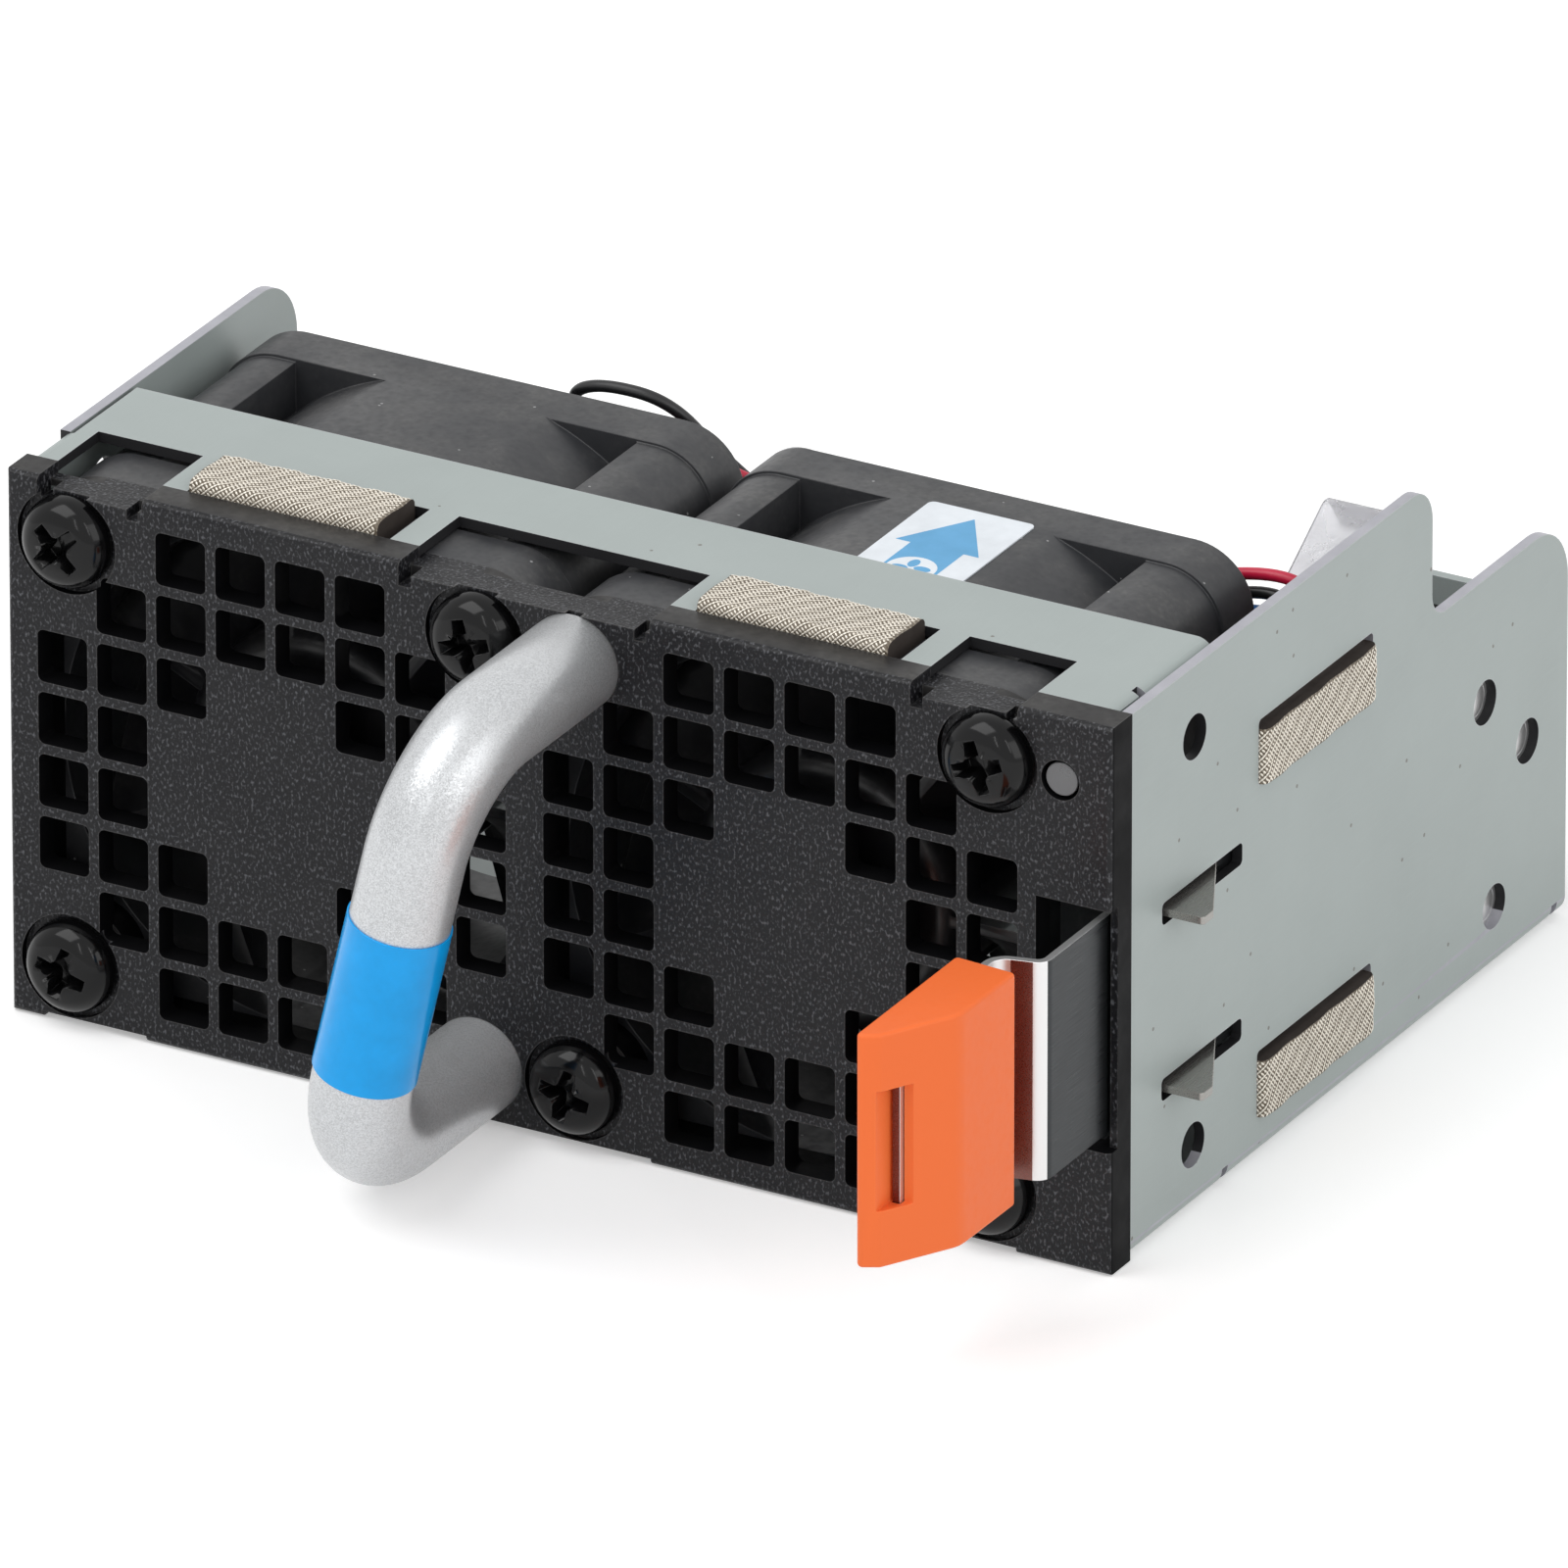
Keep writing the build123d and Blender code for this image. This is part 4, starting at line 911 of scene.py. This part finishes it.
@dataclass
class PanHead:
    """Pan-head screw with a cross recess in millimetres, with its seat at the origin and its head to -Y."""

    head: float
    height: float
    shank: float
    length: float
    dome: float = 0.25
    shoulder_share: float = 0.8
    recess_reach: float = 2.1
    recess_width: float = 1.15
    recess_depth: float = 1.9
    inner_corner: float = 0.5
    turns: int = 48
    tip: float = 0.001

    def profile(self) -> Outline:
        """Radius and depth along the head's outline, from the top's middle to the shank's end."""
        radius, top = self.head / 2, -self.height
        shoulder = (self.height - self.dome) * self.shoulder_share
        rim = radius - shoulder
        line = [(self.tip, top), (rim * 0.5, top + self.dome * 0.25), (rim, top + self.dome)]
        for step in range(1, 7):
            angle = math.radians(90 * step / 6)
            depth = top + self.dome + shoulder * (1 - math.cos(angle))
            line.append((rim + shoulder * math.sin(angle), depth))
        line += [(radius, 0.0), (self.shank / 2, 0.0), (self.shank / 2, self.length)]
        return line + [(self.tip, self.length)]

    def cross(self) -> Outline:
        """Outline of the recess at the top of the head, with rounded inner corners."""
        half, reach, corner = self.recess_width / 2, self.recess_reach, self.inner_corner
        arm = [(reach, -half * 0.85), (reach, half * 0.85), (half + corner, half)]
        for step in range(1, 4):
            angle = math.radians(90 * step / 4)
            arm.append((half + corner * (1 - math.sin(angle)), half + corner * (1 - math.cos(angle))))
        return [turned(point, 90 * quarter) for quarter in range(4) for point in arm]

    def solid(self) -> bpy.types.Object:
        """Turned body of the screw, closed."""
        work = bmesh.new()
        line = [work.verts.new((radius * MM, depth * MM, 0)) for radius, depth in self.profile()]
        edges = [work.edges.new(pair) for pair in zip(line, line[1:])]
        bmesh.ops.spin(
            work, geom=line + edges, cent=(0, 0, 0), axis=(0, 1, 0), angle=2 * math.pi,
            steps=self.turns, use_merge=True, use_duplicate=False,
        )
        bmesh.ops.remove_doubles(work, verts=work.verts, dist=2 * self.tip * MM)
        bmesh.ops.holes_fill(work, edges=[edge for edge in work.edges if edge.is_boundary])
        bmesh.ops.recalc_face_normals(work, faces=work.faces)
        return new_piece("screw_body", closed(work, "screw_body"))

    def cutter(self) -> bpy.types.Object:
        """Tapered cross that is cut out of the head."""
        work = bmesh.new()
        rings = []
        for depth, share in ((-self.height - 0.2, 1.03), (-self.height + self.recess_depth, 0.7)):
            ring = [(x * share * MM, depth * MM, z * share * MM) for x, z in self.cross()]
            rings.append([work.verts.new(place) for place in ring])
        close_rings(work, *rings)
        bmesh.ops.recalc_face_normals(work, faces=work.faces)
        return new_piece("recess", closed(work, "recess"))

    def prototype(self) -> bpy.types.Object:
        """One finished screw, from which the copies are made."""
        body, recess = self.solid(), self.cutter()
        cut = body.modifiers.new("recess", "BOOLEAN")
        cut.object = recess
        cut.operation = "DIFFERENCE"
        cut.solver = "EXACT"
        settle(body)
        bpy.data.objects.remove(recess)
        soften(body, 0.07, 32.0)
        settle(body)
        smooth(body.data, 40.0)
        return body


def turned(point: tuple[float, float], degrees: float) -> tuple[float, float]:
    """Flat point turned about the origin."""
    angle = math.radians(degrees)
    across, up = point
    return across * math.cos(angle) - up * math.sin(angle), across * math.sin(angle) + up * math.cos(angle)


def close_rings(
    work: bmesh.types.BMesh, first: list[bmesh.types.BMVert], second: list[bmesh.types.BMVert]
) -> list[bmesh.types.BMFace]:
    """Joins two rings of as many corners with a wall, and closes both ends."""
    faces = [work.faces.new(first), work.faces.new(list(reversed(second)))]
    for index, (start, end) in enumerate(zip(first, second)):
        after = (index + 1) % len(first)
        faces.append(work.faces.new((start, first[after], second[after], end)))
    return faces


def turn_matrix(turn: Vector) -> Matrix:
    """Rotation matrix of three Euler angles."""
    return Matrix.Rotation(turn.z, 3, "Z") @ Matrix.Rotation(turn.y, 3, "Y") @ Matrix.Rotation(turn.x, 3, "X")


@dataclass
class Fasteners:
    """Every screw of the module, each kind set on its points by one tree.

    No two slots of a group point the same way: each screw is turned further than the one before it.
    """

    tree: CopierTree = field(default_factory=lambda: CopierTree("Screws on points"))
    first_turn: float = 17.0
    next_turn: float = 29.0

    def centres(self, node: str) -> list[Vector]:
        """Middle of each solid of a CAD node that is a group of alike solids, in metres."""
        work = joined_copy(node)
        seen: set[bmesh.types.BMVert] = set()
        middles = []
        for start in work.verts:
            if start in seen:
                continue
            heap, group = [start], []
            seen.add(start)
            while heap:
                corner = heap.pop()
                group.append(corner.co.copy())
                for edge in corner.link_edges:
                    other = edge.other_vert(corner)
                    if other not in seen:
                        seen.add(other)
                        heap.append(other)
            places = np.array(group)
            middles.append(Vector((places.max(0) + places.min(0)) / 2))
        work.free()
        return middles

    def set_screws(self, node: str, name: str, screw: PanHead, turn: Vector, finish: Finish) -> None:
        """Makes one kind of screw.

        Args:
            node: the CAD node that they stand for.
            name: the piece's name.
            screw: the screw's sizes.
            turn: Euler angles that point the shank the right way.
            finish: their finish.
        """
        base = turn_matrix(turn)
        back = base @ Vector((0, 1, 0)) * ((screw.length - screw.height) / 2 * MM)
        places = [middle - back for middle in self.centres(node)]
        spins = [math.radians(self.first_turn + self.next_turn * index) for index in range(len(places))]
        turns = [(base @ Matrix.Rotation(spin, 3, "Y")).to_euler() for spin in spins]
        mesh = self.tree.spread(name, places, turns, screw.prototype(), finish)
        smooth(mesh, 40.0)
        hold(new_piece(name, mesh), node)

    def build(self) -> None:
        """Sets the panel's, the handle's and the bracket's screws."""
        small = {"recess_reach": 1.3, "recess_width": 0.7, "recess_depth": 0.9, "inner_corner": 0.3}
        panel = PanHead(head=6.9, height=2.5, shank=3.4, length=10.0)
        handle = PanHead(head=6.3, height=2.5, shank=3.0, length=39.4)
        bracket = PanHead(head=4.6, height=1.4, shank=2.5, length=2.8, **small)
        self.set_screws("panel_screws", "front_screws", panel, Vector((0, 0, 0)), SCREW_BLACK)
        self.set_screws("handle_screws", "handle_long_screws", handle, Vector((0, 0, math.pi)), SCREW_BLACK)
        sideways = Vector((0, 0, -math.pi / 2))
        self.set_screws("bracket_screws", "bracket_cross_screws", bracket, sideways, BRIGHT_STEEL)


@dataclass
class Handle:
    """Bent silver bar with its blue sleeve."""

    foot: tuple[float, float] = (1.45, 37.32)
    seat: float = 0.82
    buried: float = 0.05
    foot_reach: float = 4.0

    def build(self) -> None:
        """Dresses the bar and its sleeve, and keeps the upper foot inside its seat in the panel."""
        bar = dress("handle", "bar_handle", HANDLE_SILVER)
        middle = at(self.foot[0], self.buried, self.foot[1])
        deep, low = middle.y + self.buried * MM, middle.z - self.foot_reach * MM
        work = opened(bar.data)
        whole = list(work.verts) + list(work.edges) + list(work.faces)
        bmesh.ops.bisect_plane(work, geom=whole, plane_co=middle, plane_no=(0, 1, 0))
        for corner in work.verts:
            if corner.co.y > deep and corner.co.z > low:
                corner.co.x = middle.x + (corner.co.x - middle.x) * self.seat
                corner.co.z = middle.z + (corner.co.z - middle.z) * self.seat
        closed(work, bar.data)
        dress("handle_band", "grip_band", BAND_BLUE, edge=0.05)


@dataclass
class Latch:
    """Spring leaf, catch teeth and moulded finger tab."""

    flat: float = 41.0
    wall: float = 43.3

    def finish_of(self, face: bmesh.types.BMFace) -> int:
        """1 for the dull outer face, darkened as painted shade, 2 for the teeth outside, a darker copy of the
        steel as painted shade, 3 for the step, tinted as a painted reflection of the orange tab, 0 for bright
        steel.
        """
        normal, middle = face.normal, face.calc_center_median() / MM
        # Teeth outside the wall: a darker copy of the steel, painted shade.
        if middle.x > self.wall:
            return 2
        # Step facing the tab: painted reflection of the orange tab.
        if normal.y < -0.85 and abs(normal.z) < ACROSS and spans(face).x > 0.5:
            return 3
        # Outer face: a darker copy of the steel, painted shade.
        return 1 if normal.x > 0.9 and middle.x > self.flat else 0

    def build(self) -> None:
        """Dresses the leaf and the tab."""
        finishes = (SPRING_STEEL, LEAF_PAINTED_SHADE, TOOTH_PAINTED_SHADE, LEAF_TAB_REFLECTION)
        dress("latch_leaf", "spring_leaf", *finishes, edge=0.06, choose=self.finish_of)
        dress("latch_tab", "finger_tab", TAB_ORANGE, edge=0.1)


@dataclass
class WovenPad:
    """Foam strip wrapped in woven fabric, rounded along two edges and cut at its ends.

    The strip is drawn lengthwise along its first axis and stands out along its third. Its sizes are in
    millimetres, and its lowest corner in metres.
    """

    name: str
    node: str
    low: Vector
    axes: tuple[Vector, Vector, Vector]
    length: float
    width: float
    height: float
    radius: float = 0.6
    pitch: float = 0.4
    margin: float = 0.15
    crown: tuple[float, float, float] = (0.17, 0.085, 0.045)

    def profile(self, step: float) -> list[tuple[float, float, float]]:
        """Points round the fabric's section.

        Args:
            step: distance between the points in millimetres.

        Returns:
            Place across, place outwards and the outward normal's angle from out, per point.
        """
        radius, width, points = self.radius, self.width, []
        rise = max(self.height - radius, 0.0)
        bend, flat = radius * math.pi / 2, width - 2 * radius
        total = 2 * rise + 2 * bend + flat
        count = max(int(total / step), 8)
        for index in range(count + 1):
            along = total * index / count
            if along < rise:
                points.append((0.0, along, -90.0))
            elif along < rise + bend:
                turn = (along - rise) / radius
                across, out = radius - radius * math.cos(turn), rise + radius * math.sin(turn)
                points.append((across, out, math.degrees(turn) - 90))
            elif along < rise + bend + flat:
                points.append((radius + along - rise - bend, self.height, 0.0))
            elif along < rise + 2 * bend + flat:
                turn = (along - rise - bend - flat) / radius
                across, out = width - radius + radius * math.sin(turn), rise + radius * math.cos(turn)
                points.append((across, out, math.degrees(turn)))
            else:
                points.append((width, max(total - along, 0.0), 90.0))
        return points

    def spot(self, along: float, across: float, out: float) -> Vector:
        """Place in metres of a point given in the strip's own millimetres, on its slightly uneven skin."""
        sag = 0.05 * math.sin(along * 1.7 + across) + 0.03 * math.sin(along * 4.1 - across * 2.0)
        rise = out + (sag - 0.08) * min(out / self.height, 1.0)
        first, second, third = self.axes
        return self.low + (first * along + second * across + third * rise) * MM

    def pad_mesh(self) -> bpy.types.Mesh:
        """Fabric skin over the foam, with foam showing at the cut ends."""
        work = bmesh.new()
        section = self.profile(0.35)
        count = max(int(self.length / 0.5), 8)
        rows = []
        for index in range(count + 1):
            along = self.length * index / count
            rows.append([work.verts.new(self.spot(along, across, out)) for across, out, _ in section])
        for first, second in zip(rows, rows[1:]):
            for index in range(len(section) - 1):
                work.faces.new((first[index], second[index], second[index + 1], first[index + 1]))
            work.faces.new((first[-1], second[-1], second[0], first[0]))
        for row in (rows[0], rows[-1]):
            work.faces.new(row).material_index = 1
        bmesh.ops.recalc_face_normals(work, faces=work.faces)
        return closed(work, self.name)

    def crowns(self) -> tuple[list[Vector], list[Vector]]:
        """Places and turns of the thread crowns, in a staggered net on the bias."""
        places, turns = [], []
        base = Matrix(self.axes).transposed()
        for row, (across, out, lean) in enumerate(self.profile(self.pitch / 2)):
            tilt = base @ Matrix.Rotation(math.radians(-lean), 3, "X")
            offset = self.pitch / 2 if row % 2 else 0.0
            count = int((self.length - 2 * self.margin - offset) / self.pitch)
            for index in range(count + 1):
                along = self.margin + offset + index * self.pitch
                bias = math.radians(45 if (row + 2 * index) % 4 < 2 else -45)
                places.append(self.spot(along, across, out))
                turns.append(Vector((tilt @ Matrix.Rotation(bias, 3, "Z")).to_euler()))
        return places, turns

    def build(self, tree: CopierTree) -> None:
        work = bmesh.new()
        bmesh.ops.create_uvsphere(work, u_segments=8, v_segments=4, radius=1.0)
        bmesh.ops.scale(work, verts=work.verts, vec=Vector(self.crown) * MM)
        thread = closed(work, "thread_crown")
        thread.shade_smooth()
        copy = new_piece("thread_crown", thread)
        # The thread crowns take a paler copy of the fabric's colour, a painted highlight.
        crowns = tree.spread(f"{self.name}_crowns", *self.crowns(), copy, GASKET_THREAD_HIGHLIGHT)
        skin = new_piece(self.name, self.pad_mesh(), GASKET_FABRIC, GASKET_FOAM, GASKET_THREAD_HIGHLIGHT)
        smooth(skin.data, 50.0)
        work = opened(skin.data)
        before = len(work.faces)
        work.from_mesh(crowns)
        for face in list(work.faces)[before:]:
            face.material_index = 2
        closed(work, skin.data)
        hold(skin, self.node)


@dataclass
class Gaskets:
    """Two gaskets on top of the fans and two in the right wall."""

    tree: CopierTree = field(default_factory=lambda: CopierTree("Thread crowns on points"))
    nose: float = 1.4
    end_room: float = 0.9
    side_room: float = 0.6

    def build(self) -> None:
        """Makes the four woven strips."""
        x, y, z = Vector((1, 0, 0)), Vector((0, 1, 0)), Vector((0, 0, 1))
        for place in ("top_left", "top_right", "side_lower", "side_upper"):
            node = f"gasket_{place}"
            low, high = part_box(node)
            size = (high - low) / MM
            if place.startswith("top"):
                strip = (low, (x, y, z), size.x, size.y, size.z)
            else:
                room = self.side_room
                corner = Vector((high.x - self.nose * MM, low.y + room * MM, low.z + room * MM))
                length, width = size.z - 2 * self.end_room, size.y - 2 * room
                strip = (corner, (z, y, x), length, width, self.nose)
            WovenPad(f"woven_{node}", node, *strip).build(self.tree)


@dataclass
class AirflowLabel:
    """White label with a blue arrow and a small rotor mark, in millimetres."""

    ink: float = 0.012
    corner: float = 0.5
    margin: float = 1.3
    head: float = 5.4
    head_room: float = 0.9
    shaft: float = 2.1
    mark: float = 1.55
    mark_place: float = 2.2

    def prism(self, work: bmesh.types.BMesh, outline: Outline, low: float, high: float, slot: int) -> None:
        """Adds a flat prism over an outline, in metres."""
        upper, lower = ([work.verts.new((x, y, level)) for x, y in outline] for level in (high, low))
        for face in close_rings(work, upper, lower):
            face.material_index = slot

    def rounded(self, low: Vector, high: Vector) -> Outline:
        """Outline of a rectangle with round corners."""
        radius = self.corner * MM
        corners = [(high.x, high.y, 0), (low.x, high.y, 90), (low.x, low.y, 180), (high.x, low.y, 270)]
        outline = []
        for x, y, start in corners:
            middle_x = x - radius if start in (0, 270) else x + radius
            middle_y = y - radius if start in (0, 90) else y + radius
            for step in range(6):
                angle = math.radians(start + 18 * step)
                outline.append((middle_x + radius * math.cos(angle), middle_y + radius * math.sin(angle)))
        return outline

    def blade(self, degrees: float) -> Outline:
        """Outline of one blade of the rotor mark, about the mark's middle."""
        reach, outline = self.mark * MM, []
        for step in range(13):
            angle = math.radians(360 * step / 13)
            point = (reach * (0.52 + 0.42 * math.cos(angle)), reach * (0.26 * math.sin(angle) + 0.12))
            outline.append(turned(point, degrees))
        return outline

    def build(self) -> None:
        """Makes the label with its arrow and mark, each layer of ink on the one below."""
        low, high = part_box("airflow_label")
        middle = (low.x + high.x) / 2
        levels = [high.z + self.ink * MM * layer for layer in range(4)]
        work = bmesh.new()
        self.prism(work, self.rounded(low, high), low.z, levels[0], 0)
        tip, neck = high.y - self.margin * MM, high.y - (self.margin + self.head) * MM
        tail = low.y + self.margin * MM
        wide, narrow = middle - low.x - self.head_room * MM, self.shaft * MM
        half = [(wide, neck), (narrow, neck), (narrow, tail)]
        arrow = [(middle, tip)] + [(middle - x, y) for x, y in half]
        arrow += [(middle + x, y) for x, y in reversed(half)]
        self.prism(work, arrow, levels[0], levels[1], 1)
        centre_y, reach = tail + self.mark_place * MM, self.mark * MM * 1.2
        ring = [turned((reach, 0.0), 10 * step) for step in range(36)]
        marks = [(ring, 0, levels[1], levels[2])]
        marks += [(self.blade(90 * blade), 1, levels[2], levels[3]) for blade in range(4)]
        for outline, slot, bottom, top in marks:
            self.prism(work, [(middle + x, centre_y + y) for x, y in outline], bottom, top, slot)
        bmesh.ops.recalc_face_normals(work, faces=work.faces)
        label = new_piece("flow_label", closed(work, "flow_label"), LABEL_WHITE, LABEL_BLUE)
        hold(label, "airflow_label")


@dataclass
class FanUnit:
    """One axial fan: frame, impeller and motor."""

    side: str

    def build(self) -> None:
        """Dresses the fan's pieces."""
        side = self.side
        dress(f"fan_frame_{side}", f"fan_{side}_frame", FAN_GREY, edge=0.15)
        dress(f"impeller_{side}", f"fan_{side}_impeller", IMPELLER_BLACK)
        for part in ("rotor_shaft", "rotor_yoke", "bearings", "stator_core"):
            recolour(f"{part}_{side}", BRIGHT_STEEL)
        recolour(f"rotor_magnet_{side}", FERRITE)
        recolour(f"stator_coils_{side}", COPPER)
        recolour(f"motor_board_{side}", BOARD_GREEN)


@dataclass
class Leads:
    """Flexible leads from the motors out through the frames' channels to the plug, in millimetres."""

    thickness: float = 0.9
    fan_back: float = 32.0
    fan_middle: float = 20.92
    strut: float = 0.5
    channel: tuple[float, float] = (9.0, 17.0)
    plug: Vector = field(default_factory=lambda: Vector((33.8, 57.0, 13.3)))
    run_in: float = 5.0
    pitch: float = 2.54
    middles: dict[str, float] = field(default_factory=lambda: {"left": -22.75, "right": 17.85})
    lanes: dict[str, int] = field(default_factory=lambda: {"blue": -1, "black": 0, "red": 1})

    def left_route(self, colour: str) -> list[tuple[float, float, float]]:
        """Middle points of a left lead, from the middle of that fan's back."""
        routes = {
            "black": [
                (12.35, 2.2, 12.7), (9.75, 4.0, 15.3), (5.75, 2.9, 16.5),
                (4.55, 2.2, 18.9), (7.35, 2.0, 20.3), (12.55, 2.8, 19.7),
                (14.95, 5.8, 14.6), (24.75, 9.0, 6.1), (42.75, 12.0, -3.4),
            ],
            "red": [(13.55, 2.4, 15.0), (18.25, 3.0, 15.6), (26.75, 4.5, 10.1), (42.75, 10.0, 0.1)],
            "blue": [(14.95, 2.2, 13.1), (19.25, 3.0, 12.5), (26.75, 4.5, 7.6), (42.75, 9.0, -5.9)],
        }
        return routes[colour]

    def right_route(self, lane: int) -> list[tuple[float, float, float]]:
        """Middle points of a right lead: out at the top corner, down the side channel and back."""
        beside, lift = 1.2 * lane, 1.5 * lane
        return [
            (14.4 - 0.6 * lane, 2.6, 14.6 + lift),
            (21.9 + beside, 3.0, 16.2 + lift),
            (21.9 + beside, 4.4, 10.0 + lift),
        ]

    def route(self, side: str, colour: str) -> list[Vector]:
        """Every point of a lead in metres, from the motor to the back of the plug.

        Args:
            side: left or right fan.
            colour: the lead's colour.

        Returns:
            The points, which are the control points of its spline.
        """
        lane, middle, slant = self.lanes[colour], self.middles[side], math.sqrt(0.5)
        deep = self.fan_back - self.strut - self.thickness / 2
        points = [
            at(middle + (reach - lane) * slant, deep, self.fan_middle + (reach + lane) * slant)
            for reach in self.channel
        ]
        loose = self.left_route(colour) if side == "left" else self.right_route(lane)
        points += [at(middle + x, self.fan_back + y, self.fan_middle + z) for x, y, z in loose]
        row = -1 if side == "left" else 1
        entry_x, entry_z = self.plug.x + row * self.pitch / 2, self.plug.z + lane * self.pitch
        return points + [at(entry_x, y, entry_z) for y in (self.plug.y - self.run_in, self.plug.y)]

    def lay(self, side: str, colour: str) -> None:
        points = self.route(side, colour)
        curve = bpy.data.curves.new(f"fan_{side}_{colour}_lead", "CURVE")
        curve.dimensions = "3D"
        curve.resolution_u = 10
        line = curve.splines.new("NURBS")
        line.points.add(len(points) - 1)
        for target, place in zip(line.points, points):
            target.co = (*place, 1.0)
        line.order_u = 3
        line.use_endpoint_u = True
        curve.bevel_depth = self.thickness / 2 * MM
        curve.bevel_resolution = 4
        curve.use_fill_caps = True
        curve.materials.append(LEAD_COLOURS[colour].material())
        hold(link(curve.name, curve), f"lead_{side}_{colour}")

    def build(self) -> None:
        """Lays all six leads."""
        for side in SIDES:
            for colour in self.lanes:
                self.lay(side, colour)


@dataclass
class RearConnector:
    """Plug on its bracket, with its barrels, and the film over the leads."""

    def build(self) -> None:
        """Dresses the pieces behind the fans."""
        dress("connector_bracket", "plug_bracket", TRAY_SHEET, edge=0.08)
        dress("standoff_barrels", "bracket_barrels", BRIGHT_STEEL, edge=0.08)
        dress("connector_housing", "plug_housing", PANEL_SMOOTH, edge=0.08)
        dress("connector_contacts", "plug_pins", GOLD, edge=0.05)
        dress("lead_guard", "guard_flap", GUARD_FILM, edge=0.05)


def seen_directly(board: Board) -> Socket:
    """1 for rays from the camera, and for what gloss and glass show."""
    rays = board.add("ShaderNodeLightPath").outputs
    mirrored = board.maths("MAXIMUM", rays["Is Glossy Ray"], rays["Is Transmission Ray"])
    return board.maths("MAXIMUM", rays["Is Camera Ray"], mirrored)


@dataclass
class Studio:
    """Camera of the photograph, plain soft light with two strip lamps, and a pale floor."""

    eye: Vector = field(default_factory=lambda: Vector((1.1015, -1.9733, 1.0803)))
    azimuth: float = 29.20
    elevation: float = 25.276
    roll: float = -0.041
    focal_pixels: float = 36240.2
    frame_pixels: float = 1600.0
    sensor: float = 36.0
    world_strength: float = 0.62
    key_power: float = 12.5
    floor_tone: float = 0.86
    floor_lift: float = 0.34
    floor_reach: float = 6.0
    floor_level: float = -0.0001
    key_place: tuple[float, float, float] = (-0.5, -0.7, 1.5)
    fill_place: tuple[float, float, float] = (1.4, -0.3, 0.7)
    fill_share: float = 0.35
    strip_power: float = 1.1
    strip_azimuths: tuple[float, float] = (12.0, 52.0)
    strip_distance: float = 1.5
    strip_height: float = 1.0
    aim_height: float = 0.02

    def camera(self) -> None:
        """Sets the camera from its solved place, angles and focal length."""
        azimuth, elevation, roll = (math.radians(a) for a in (self.azimuth, self.elevation, self.roll))
        ahead = Vector((
            -math.sin(azimuth) * math.cos(elevation),
            math.cos(azimuth) * math.cos(elevation),
            -math.sin(elevation),
        ))
        level = Vector((math.cos(azimuth), math.sin(azimuth), 0))
        upright = level.cross(ahead)
        right = math.cos(roll) * level + math.sin(roll) * upright
        up = math.cos(roll) * upright - math.sin(roll) * level
        data = bpy.data.cameras.new("photo_camera")
        data.sensor_width = self.sensor
        data.lens = self.focal_pixels / self.frame_pixels * self.sensor
        data.clip_start, data.clip_end = 0.1, 20.0
        camera = link("photo_camera", data)
        turn = Matrix((right, up, -ahead)).transposed().to_4x4()
        camera.matrix_world = Matrix.Translation(self.eye) @ turn
        bpy.context.scene.camera = camera

    def lamp(self, name: str, place: Vector, size: float, power: float, width: float = 0.0) -> None:
        """Adds a soft lamp that looks at the module, square or a strip of a width."""
        data = bpy.data.lights.new(name, "AREA")
        data.size = size
        if width:
            data.shape = "RECTANGLE"
            data.size, data.size_y = width, size
        data.energy = power
        lamp = link(name, data)
        lamp.location = place
        aim = Vector((0, 0, self.aim_height))
        lamp.rotation_euler = (aim - place).to_track_quat("-Z", "Y").to_euler()

    def world(self) -> None:
        """White surroundings, at full white for the camera and for what gloss and glass show."""
        world = bpy.data.worlds.new("studio")
        world.use_nodes = True
        board = Board(world.node_tree)
        strength = board.maths("MAXIMUM", seen_directly(board), self.world_strength)
        board.wire(world.node_tree.nodes["Background"], Color=WHITE, Strength=strength)
        bpy.context.scene.world = world

    def floor(self) -> None:
        """Pale floor that keeps the module's soft shadow."""
        reach, level = self.floor_reach, self.floor_level
        signs = ((-1, -1), (1, -1), (1, 1), (-1, 1))
        mesh = bpy.data.meshes.new("floor")
        mesh.from_pydata([(reach * x, reach * y, level) for x, y in signs], [], [(0, 1, 2, 3)])
        floor = link("floor", mesh)
        material = bpy.data.materials.new("floor_white")
        material.use_nodes = True
        board = Board(material.node_tree)
        lift = board.maths("MULTIPLY", seen_directly(board), self.floor_lift)
        shader = material.node_tree.nodes["Principled BSDF"]
        board.wire(shader, Base_Color=(*(self.floor_tone,) * 3, 1), Roughness=1.0, Specular_IOR_Level=0.0)
        board.wire(shader, Emission_Color=WHITE, Emission_Strength=lift)
        mesh.materials.append(material)

    def build(self) -> None:
        """Sets the camera, the lights, the world and the floor."""
        self.camera()
        self.world()
        self.floor()
        self.lamp("key_above", Vector(self.key_place), size=1.2, power=self.key_power)
        self.lamp("fill_right", Vector(self.fill_place), size=1.0, power=self.key_power * self.fill_share)
        for index, azimuth in enumerate(self.strip_azimuths):
            x, y = turned((0.0, -self.strip_distance), azimuth)
            place = Vector((x, y, self.strip_height))
            self.lamp(f"strip_{index}", place, size=0.9, power=self.strip_power, width=0.05)
        bpy.context.scene.view_settings.view_transform = "Standard"


def main() -> None:
    """Builds every sub-assembly in order."""
    logging.basicConfig(level=logging.INFO, format="%(name)s: %(message)s")
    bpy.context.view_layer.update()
    fans = [FanUnit(side) for side in SIDES]
    front = (Studio(), Tray(), Panel(), Fasteners(), Handle(), Latch(), Gaskets(), AirflowLabel())
    for assembly in (*front, *fans, Leads(), RearConnector()):
        assembly.build()


if __name__ == "__main__":
    main()
